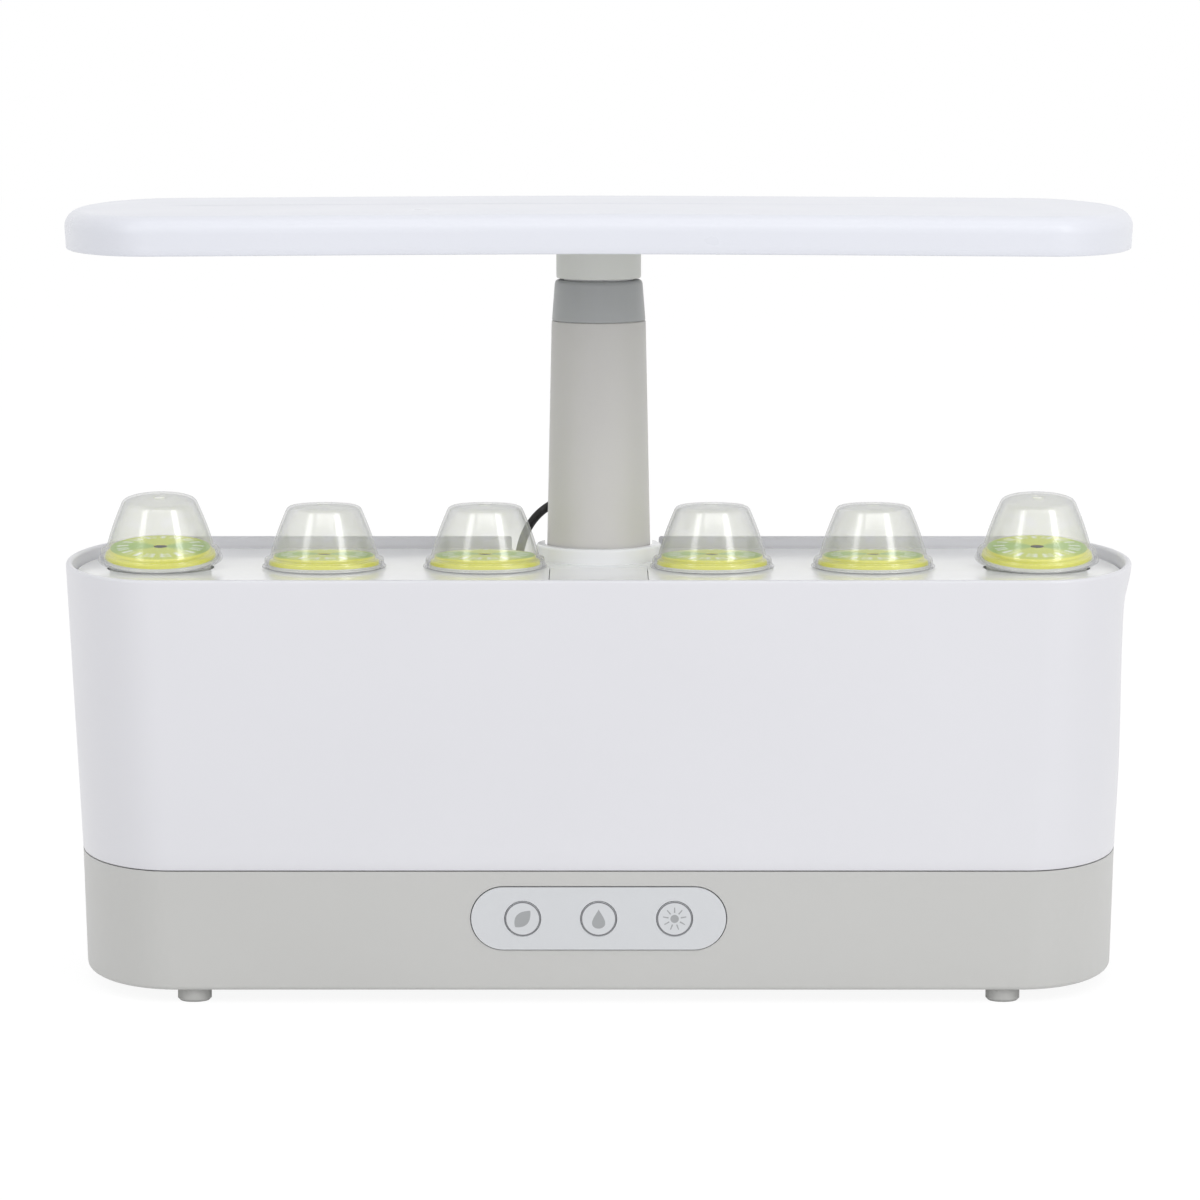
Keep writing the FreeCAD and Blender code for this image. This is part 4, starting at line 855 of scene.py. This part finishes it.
@dataclass
class Hood:
    """The long lamp hood's casing; its diffuser, light board and chips are finished with the frame's
    other nodes.
    """

    shop: Workshop
    low_size: tuple[float, float] = (199.2 * MM, 73.2 * MM)
    top_size: tuple[float, float] = (200.0 * MM, 74.0 * MM)
    reach: float = 36.0 * MM
    low: float = 277.8 * MM
    height: float = 14.8 * MM
    wall: float = 2.2 * MM
    roof: float = 1.6 * MM
    edge: tuple[float, float] = (6.8 * MM, 6.6 * MM)
    crown: float = 0.35 * MM
    droop: float = 1.15 * MM
    droop_ease: float = 40.0 * MM
    fill: tuple[float, ...] = (0.8, 0.6, 0.4, 0.2, 0.02)

    def outline(self, z: float, inset: float) -> np.ndarray:
        """The hood's outline at a height, drawn in; it droops a little towards the ends.

        The droop goes as sqrt(x^2 + ease^2), so it is level in the middle and straight further out.
        """
        share = (z - self.low) / self.height
        width, depth = (low + share * (top - low) - inset
                        for low, top in zip(self.low_size, self.top_size))
        flat = oval(width, depth, self.reach - inset)
        arms = np.hypot(np.array([0.0, self.top_size[0]]), self.droop_ease)
        droop = (np.hypot(flat[:, 0], self.droop_ease) - arms[0]) / (arms[1] - arms[0])
        return lifted(flat, z - self.droop * droop)

    def build(self) -> None:
        """Skin from the inner ceiling down, round the lower lip, up and over the rounded top.

        Ceiling and top are filled by their outline again, drawn in along Y by each share of fill.
        """
        top = self.low + self.height
        ceiling = top - self.roof - self.crown
        lip = 0.45 * MM
        rows = [(ceiling, self.wall + 6 * MM), (ceiling - 2.5 * MM, self.wall + 2 * MM),
                (ceiling - 6 * MM, self.wall), (self.low + lip, self.wall),
                (self.low, self.wall - lip), (self.low, lip), (self.low + 0.3 * lip, 0.3 * lip),
                (self.low + lip, 0.0), (self.low + 2.5 * MM, 0.0)]
        across, down = self.edge
        shoulder = top - self.crown
        turn = np.linspace(0, math.pi / 2, 15)
        rows += list(zip(shoulder - down + down * np.sin(turn), across - across * np.cos(turn)))
        rest = np.linspace(0, 1, 8)[1:]
        inset = across + rest * (self.reach - 2 * MM - across)
        rows += list(zip(shoulder + self.crown * np.sin(rest * math.pi / 2), inset))
        points = np.stack([self.outline(z, inset) for z, inset in rows])
        shares = np.array(self.fill)[:, None, None]
        squeeze = np.concatenate([shares ** 0, shares, shares ** 0], axis=2)
        points = np.concatenate([(points[:1] * squeeze)[::-1], points, points[-1:] * squeeze])
        self.shop.piece("hood_casing", points, HOOD_WHITE, "lamp_hood", ("hood_shell",), sharp=60.0)


@dataclass
class Post:
    """The tapered sleeve, its collar, and the hub that slides with the tube in them; the tube itself
    is finished with the frame's other nodes.
    """

    shop: Workshop
    y: float = 36.0 * MM
    low: float = 50.3 * MM
    sleeve_end: float = 246.2 * MM
    collar_end: float = 261.8 * MM
    bore: float = 15.05 * MM
    low_radius: float = 22.1 * MM
    top_radius: float = 18.0 * MM
    collar_radius: float = 16.6 * MM
    tube: float = 13.3 * MM
    hub_radius: float = 16.2 * MM
    hub_low: float = 262.4 * MM
    hub_seat: float = 280.8 * MM

    def build(self) -> None:
        """Three turned pieces on the post's axis: sleeve, collar and hub."""
        seat = Matrix.Translation((0, self.y, 0))
        sleeve = eased([(self.bore, self.low, 0), (self.low_radius, self.low, 0.5 * MM),
                        (self.top_radius, self.sleeve_end, 0.7 * MM),
                        (self.bore, self.sleeve_end, 0)], closed=True)
        self.shop.turned("post_outer", sleeve, SLEEVE_GREY, "base", ("post_sleeve",), seat)
        lip = self.collar_end - 2.6 * MM
        hole = self.tube + 0.3 * MM
        collar = eased([(self.bore, self.sleeve_end, 0),
                        (self.top_radius - 0.1 * MM, self.sleeve_end, 0.7 * MM),
                        (self.collar_radius + 0.1 * MM, self.collar_end, 1.9 * MM),
                        (hole, self.collar_end, 0.4 * MM), (hole, lip, 0), (self.bore, lip, 0)],
                       closed=True, steps=9)
        self.shop.turned("post_clamp", collar, COLLAR_GREY, "base", ("post_collar",), seat)
        bore = self.tube + 0.05 * MM
        hub = eased([(bore, self.hub_low, 0), (self.hub_radius, self.hub_low, 0.8 * MM),
                     (self.hub_radius, self.hub_seat, 0), (25 * MM, self.hub_seat, 0),
                     (25 * MM, self.hub_seat + 2 * MM, 0.4 * MM), (bore, self.hub_seat + 2 * MM, 0)],
                    closed=True)
        self.shop.turned("hood_socket", hub, HUB_GREY_PAINTED_LIGHTER, "lamp_hood", ("hood_hub",), seat)


@dataclass
class Pod:
    """One pod: basket, sponge, printed label and clear dome, drawn about its own axis."""

    shop: Workshop
    number: int
    x: float
    lean: float
    y: float = 5.0 * MM
    seat_z: float = 154.8 * MM
    flange: float = 23.5 * MM

    @property
    def seat(self) -> Matrix:
        """Where the pod stands; a leaning pod tips about the front edge of its flange."""
        turn = math.radians(self.lean)
        spot = (self.x, self.y - self.flange + self.flange * math.cos(turn),
                self.seat_z + self.flange * math.sin(turn))
        return Matrix.Translation(spot) @ Matrix.Rotation(turn, 4, "X")

    def build(self) -> None:
        """The four pieces, from the basket up; the dome throws no shadow.

        The dome's profile doesn't close on itself, so flat faces close it across its foot, and it
        is open on top within the profile's least radius.
        """
        tail, seat = f"_{self.number}", self.seat
        body = f"pod_{self.number}"
        self.shop.copied("pod_basket" + tail, "basket" + tail, NATURAL, body)
        self.shop.copied("pod_sponge" + tail, "sponge" + tail, FOAM, body)
        card = millimetres([(2.6, 4.9, 0), (12, 5.1, 3.0), (19.1, 4.5, 0.3), (19.3, 2.9, 0.2),
                            (20.7, 2.6, 0.2), (20.8, 1.3, 0)])
        self.shop.turned("pod_label" + tail, closed_up(card, 0.25 * MM), CARD, body,
                         ("label" + tail,), seat, 128)
        dome = millimetres([(22.1, 0.0, 0), (23.5, 0.0, 0.3), (23.5, 0.8, 0.3), (22.7, 0.9, 0.3),
                            (22.5, 3.7, 0.8), (20.6, 4.2, 0.7), (17.8, 13.5, 6.0), (14.0, 22.7, 1.2),
                            (12.4, 23.4, 0.8), (3.0, 24.2, 0)])
        inner = dome[::-1] - np.array([0.0, 0.7 * MM])
        inner[:, 0] = np.maximum(inner[:, 0] - 0.6 * MM, 0.3 * MM)
        inner[inner[:, 1] < 0.4 * MM, 1] = 0.05 * MM
        clear = self.shop.turned("pod_dome" + tail, np.concatenate([dome, inner]), CLEAR,
                                 f"dome_cap_{self.number}", ("dome" + tail,), seat, 96)
        clear.visible_shadow = clear.visible_diffuse = False


def millimetres(corners: Sequence[tuple[float, float, float]], closed: bool = False) -> np.ndarray:
    """An eased profile given in millimetres."""
    return eased([tuple(part * MM for part in corner) for corner in corners], closed)


def closed_up(profile: np.ndarray, thickness: float) -> np.ndarray:
    """A thin sheet from an open profile: the profile, and back again one thickness lower."""
    lower = profile[::-1] - np.array([0.0, thickness])
    return np.concatenate([profile, lower, profile[:1]])


@dataclass
class Controls:
    """Signs and rings on the three buttons of the panel on the base's leaning front."""

    shop: Workshop
    face: float = 65.44 * MM
    z: float = 32.6 * MM
    lean: float = math.atan(4.5 / 45.3)
    pitch: float = 28.0 * MM
    radius: float = 6.56 * MM
    panel: tuple[float, float] = (47.0 * MM, 11.9 * MM)
    proud: float = 0.5 * MM
    button_proud: float = 0.3 * MM

    @property
    def seat(self) -> Matrix:
        """The panel's own axes: X along, Y up the slope, Z out of the face."""
        return (Matrix.Translation((0, -self.face, self.z))
                @ Matrix.Rotation(math.pi / 2 + self.lean, 4, "X"))

    def build(self) -> None:
        """Signs and rings on the buttons, which stand a hair above the button's face."""
        for word, x, sign in (("food", -self.pitch, leaf()), ("water", 0.0, drop()),
                              ("light", self.pitch, None)):
            body = word + "_key"
            centre = Matrix.Translation((x, 0, self.proud + self.button_proud))
            seat = self.seat @ centre
            ring = np.array([(self.radius - 0.5 * MM, 0.0), (self.radius - 0.5 * MM, 0.03 * MM),
                             (self.radius - 0.06 * MM, 0.03 * MM), (self.radius - 0.06 * MM, 0.0),
                             (self.radius - 0.5 * MM, 0.0)])
            self.shop.turned(word + "_ring", ring, INK, body, (), seat, 96)
            for number, outline in enumerate(sun() if sign is None else [sign], 1):
                rows = np.stack([moved(lifted(outline, height), seat) for height in (0.0, 0.04 * MM)])
                self.shop.piece(f"{word}_sign_{number}", rows, ICON_INK, body, sharp=30.0)


def leaf(length: float = 8.3 * MM, width: float = 5.0 * MM, count: int = 40) -> np.ndarray:
    """A pointed leaf, leaning right: width goes as sin(pi t) to the power 0.8 along its length."""
    share = np.linspace(0, 1, count)
    half = 0.5 * width * np.sin(math.pi * share) ** 0.8 * (1.15 - 0.3 * share)
    spine = (share - 0.5) * length
    lower = np.stack([spine, -half], axis=-1)
    upper = np.stack([spine, half], axis=-1)[::-1][1:-1]
    return turned_flat(np.concatenate([lower, upper]), math.radians(48))


def drop(height: float = 7.4 * MM, radius: float = 2.7 * MM, count: int = 56) -> np.ndarray:
    """A water drop: a circle whose upper half narrows to a point as sin(t) (1 - cos(t)) does."""
    turn = np.linspace(0, 2 * math.pi, count, endpoint=False)
    x = radius * 1.3 * np.sin(turn) * np.sin(turn / 2) ** 1.6
    y = 0.5 * height * np.cos(turn)
    return np.stack([-x, y], axis=-1)


def sun(core: float = 1.55 * MM, near: float = 2.3 * MM, far: float = 4.35 * MM,
        rays: int = 9) -> list[np.ndarray]:
    """A disc with thin rays round it."""
    turn = np.linspace(0, 2 * math.pi, 32, endpoint=False)
    shapes = [np.stack([core * np.cos(turn), core * np.sin(turn)], axis=-1)]
    ray = np.array([(near, -0.26 * MM), (far, -0.18 * MM), (far, 0.18 * MM), (near, 0.26 * MM)])
    shapes += [turned_flat(ray, math.pi / 2 + 2 * math.pi * number / rays)
               for number in range(rays)]
    return shapes


def turned_flat(outline: np.ndarray, angle: float) -> np.ndarray:
    """A flat outline turned about its middle by an angle in radians."""
    cosine, sine = math.cos(angle), math.sin(angle)
    return outline @ np.array([(cosine, sine), (-sine, cosine)])


@dataclass
class Lead:
    """The short black lead from the post's gland to the grommet in the base."""

    shop: Workshop
    diameter: float = 3.4 * MM
    exit: tuple[float, float, float] = (-3.55, 61.28, 173.5)
    grommet: tuple[float, float, float] = (-28.0, 59.8, 53.7)
    route: tuple[tuple[float, float, float], ...] = (
        (-4.7, 69.8, 173.8), (-9.6, 77.0, 173.8), (-16.9, 81.2, 171.7), (-24.3, 82.0, 166.6),
        (-29.5, 81.0, 158.7), (-32.0, 78.9, 147.4), (-31.9, 75.6, 133.5), (-30.6, 70.6, 117.6),
        (-29.0, 65.8, 100.6), (-28.2, 62.0, 82.8), (-28.1, 60.0, 66.4))

    def build(self) -> None:
        """A smooth spline through the route's control points, with a round section."""
        points = np.array([self.exit, *self.route, self.grommet]) * MM
        curve = bpy.data.curves.new("lamp_cord", "CURVE")
        curve.dimensions = "3D"
        curve.bevel_depth = self.diameter / 2
        curve.bevel_resolution = 6
        curve.resolution_u = 10
        curve.use_fill_caps = True
        spline = curve.splines.new("NURBS")
        spline.points.add(len(points) - 1)
        weighted = np.concatenate([points, np.ones((len(points), 1))], axis=1)
        spline.points.foreach_set("co", weighted.ravel())
        spline.order_u = 3
        spline.use_endpoint_u = True
        piece = bpy.data.objects.new("lamp_cord", curve)
        bpy.context.scene.collection.objects.link(piece)
        curve.materials.append(self.shop.material(CABLE))
        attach(piece, "base")
        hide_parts("lamp_lead")


@dataclass
class Carried:
    """The frame's own nodes that keep their shape, and the finish of each."""

    shop: Workshop
    smooth_copies: dict[str, tuple[object, str]] = field(default_factory=lambda: {
        "base_housing": (GREY, "base"), "control_panel": (PANEL_GREY, "base"),
        "food_button": (PANEL_GREY, "food_key"), "water_button": (PANEL_GREY, "water_key"),
        "light_button": (PANEL_GREY, "light_key"), "rubber_feet": (RUBBER, "base"),
        "grow_deck": (DECK_MILK, "deck"), "fill_lid": (DECK_MILK, "lid"),
        "lead_gland": (BLACK, "base"), "lead_grommet": (BLACK, "base"),
        "power_inlet": (BLACK, "base"), "light_diffuser": (CLEAR_SHEET, "lamp_hood"),
        "inner_tube": (ANODISED, "lamp_hood")})
    plain: dict[str, object] = field(default_factory=lambda: {
        "bottom_cover": GREY, "base_screws": STEEL, "hood_screws": STEEL,
        "control_board": GREEN_BOARD, "tact_switches": BLACK, "signal_lamps": CLEAR_SHEET,
        "pump_motor": BLACK, "drive_magnet": FERRITE, "friction_bush": ACETAL,
        "pump_cover": BLACK, "pump_impeller": FERRITE, "outlet_tube": CLEAR_SHEET,
        "level_float": BLACK, "float_cage": NATURAL, "light_board": WHITE_BOARD,
        "light_chips": CHIP})

    def build(self) -> None:
        """Smooth copies of what shows, and a finish for what stays as it is."""
        for node, (finish, body) in self.smooth_copies.items():
            self.shop.copied(node + "_finished", node, finish, body)
        for node, finish in self.plain.items():
            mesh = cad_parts[node].data
            mesh.materials.clear()
            mesh.materials.append(self.shop.material(finish))


@dataclass
class Studio:
    """Camera, lamps, floor and a white surround."""

    camera_place: tuple[float, float, float] = (0.0005, -2.0, 0.3914)
    pitch: float = 0.12370
    lens: float = 159.8
    ambient: float = 0.7
    lamps: tuple = (
        ("key", (0.4, -2.2, 1.1), (1.6, 1.2), 0.6),
        ("top", (0.2, -0.5, 2.4), (1.8, 1.2), 4.5),
        ("front_high", (0.1, -1.7, 1.85), (1.9, 0.5), 5.0),
        ("fill", (1.9, -1.1, 0.5), (1.4, 1.0), 1.6),
        ("strip_left", (-1.15, -1.15, 1.1), (0.45, 1.2), 3.6),
        ("strip_right", (1.15, -1.15, 1.1), (0.5, 1.2), 6.5),
    )

    def build(self) -> None:
        """Sets the stage."""
        scene = bpy.context.scene
        scene.view_settings.view_transform = "Standard"
        camera = bpy.data.cameras.new("camera")
        camera.lens = self.lens
        camera.sensor_width = 36.0
        camera.sensor_fit = "HORIZONTAL"
        holder = bpy.data.objects.new("camera", camera)
        holder.location = self.camera_place
        holder.rotation_euler = (math.pi / 2 - self.pitch, 0, 0)
        scene.collection.objects.link(holder)
        scene.camera = holder
        self.world(scene)
        for name, place, spread, power in self.lamps:
            self.lamp(name, place, spread, power)
        self.floor(scene)

    def world(self, scene: bpy.types.Scene) -> None:
        """White to the camera and in reflections, plain soft light to the rest."""
        paint = Paint("surround", world=True)
        strength = self.ambient + paint.seen() * (1.0 - self.ambient)
        paint.end(paint.node("ShaderNodeBackground", None,
                             {"Color": (1.0, 1.0, 1.0, 1.0), "Strength": strength}))
        scene.world = paint.holder

    def lamp(self, name: str, place: tuple[float, float, float], spread: tuple[float, float],
             power: float) -> None:
        """A soft rectangular lamp that faces the garden."""
        light = bpy.data.lights.new(name, "AREA")
        light.shape = "RECTANGLE"
        light.size, light.size_y = spread
        light.energy = power
        holder = bpy.data.objects.new(name, light)
        holder.location = place
        way = np.array((0.0, 0.0, 0.15)) - np.array(place)
        heading = math.atan2(way[0], -way[1])
        drop_angle = math.atan2(math.hypot(way[0], way[1]), -way[2])
        holder.rotation_euler = (drop_angle, 0, math.pi + heading)
        bpy.context.scene.collection.objects.link(holder)

    def floor(self, scene: bpy.types.Scene) -> None:
        """A wide white floor that keeps a faint shadow."""
        paint = Paint("floor_white")
        diffuse = paint.node("ShaderNodeBsdfDiffuse", None, {"Color": (0.9, 0.9, 0.9, 1.0)})
        glow = paint.node("ShaderNodeEmission", None, {"Color": (1, 1, 1, 1), "Strength": 1.06})
        paint.end(paint.node("ShaderNodeMixShader", None,
                             {0: paint.seen() * 0.86, 1: diffuse, 2: glow}))
        half = 6.0
        mesh = bpy.data.meshes.new("floor")
        mesh.from_pydata([(-half, -half, 0), (half, -half, 0), (half, half, 0), (-half, half, 0)],
                         [], [(0, 1, 2, 3)])
        mesh.materials.append(paint.holder)
        plane = bpy.data.objects.new("floor", mesh)
        scene.collection.objects.link(plane)


def main() -> None:
    logging.basicConfig(level=logging.INFO, format="%(message)s")
    shop = Workshop()
    Studio().build()
    Lead(shop).build()
    Basin(shop).build()
    Hood(shop).build()
    Post(shop).build()
    places = [(-166, 7.5), (-104, 0), (-43, 0), (43, 0), (104, 0), (166, 7.5)]
    for number, (x, lean) in enumerate(places, 1):
        Pod(shop, number, x * MM, lean).build()
    Controls(shop).build()
    Carried(shop).build()


if __name__ == "__main__":
    main()
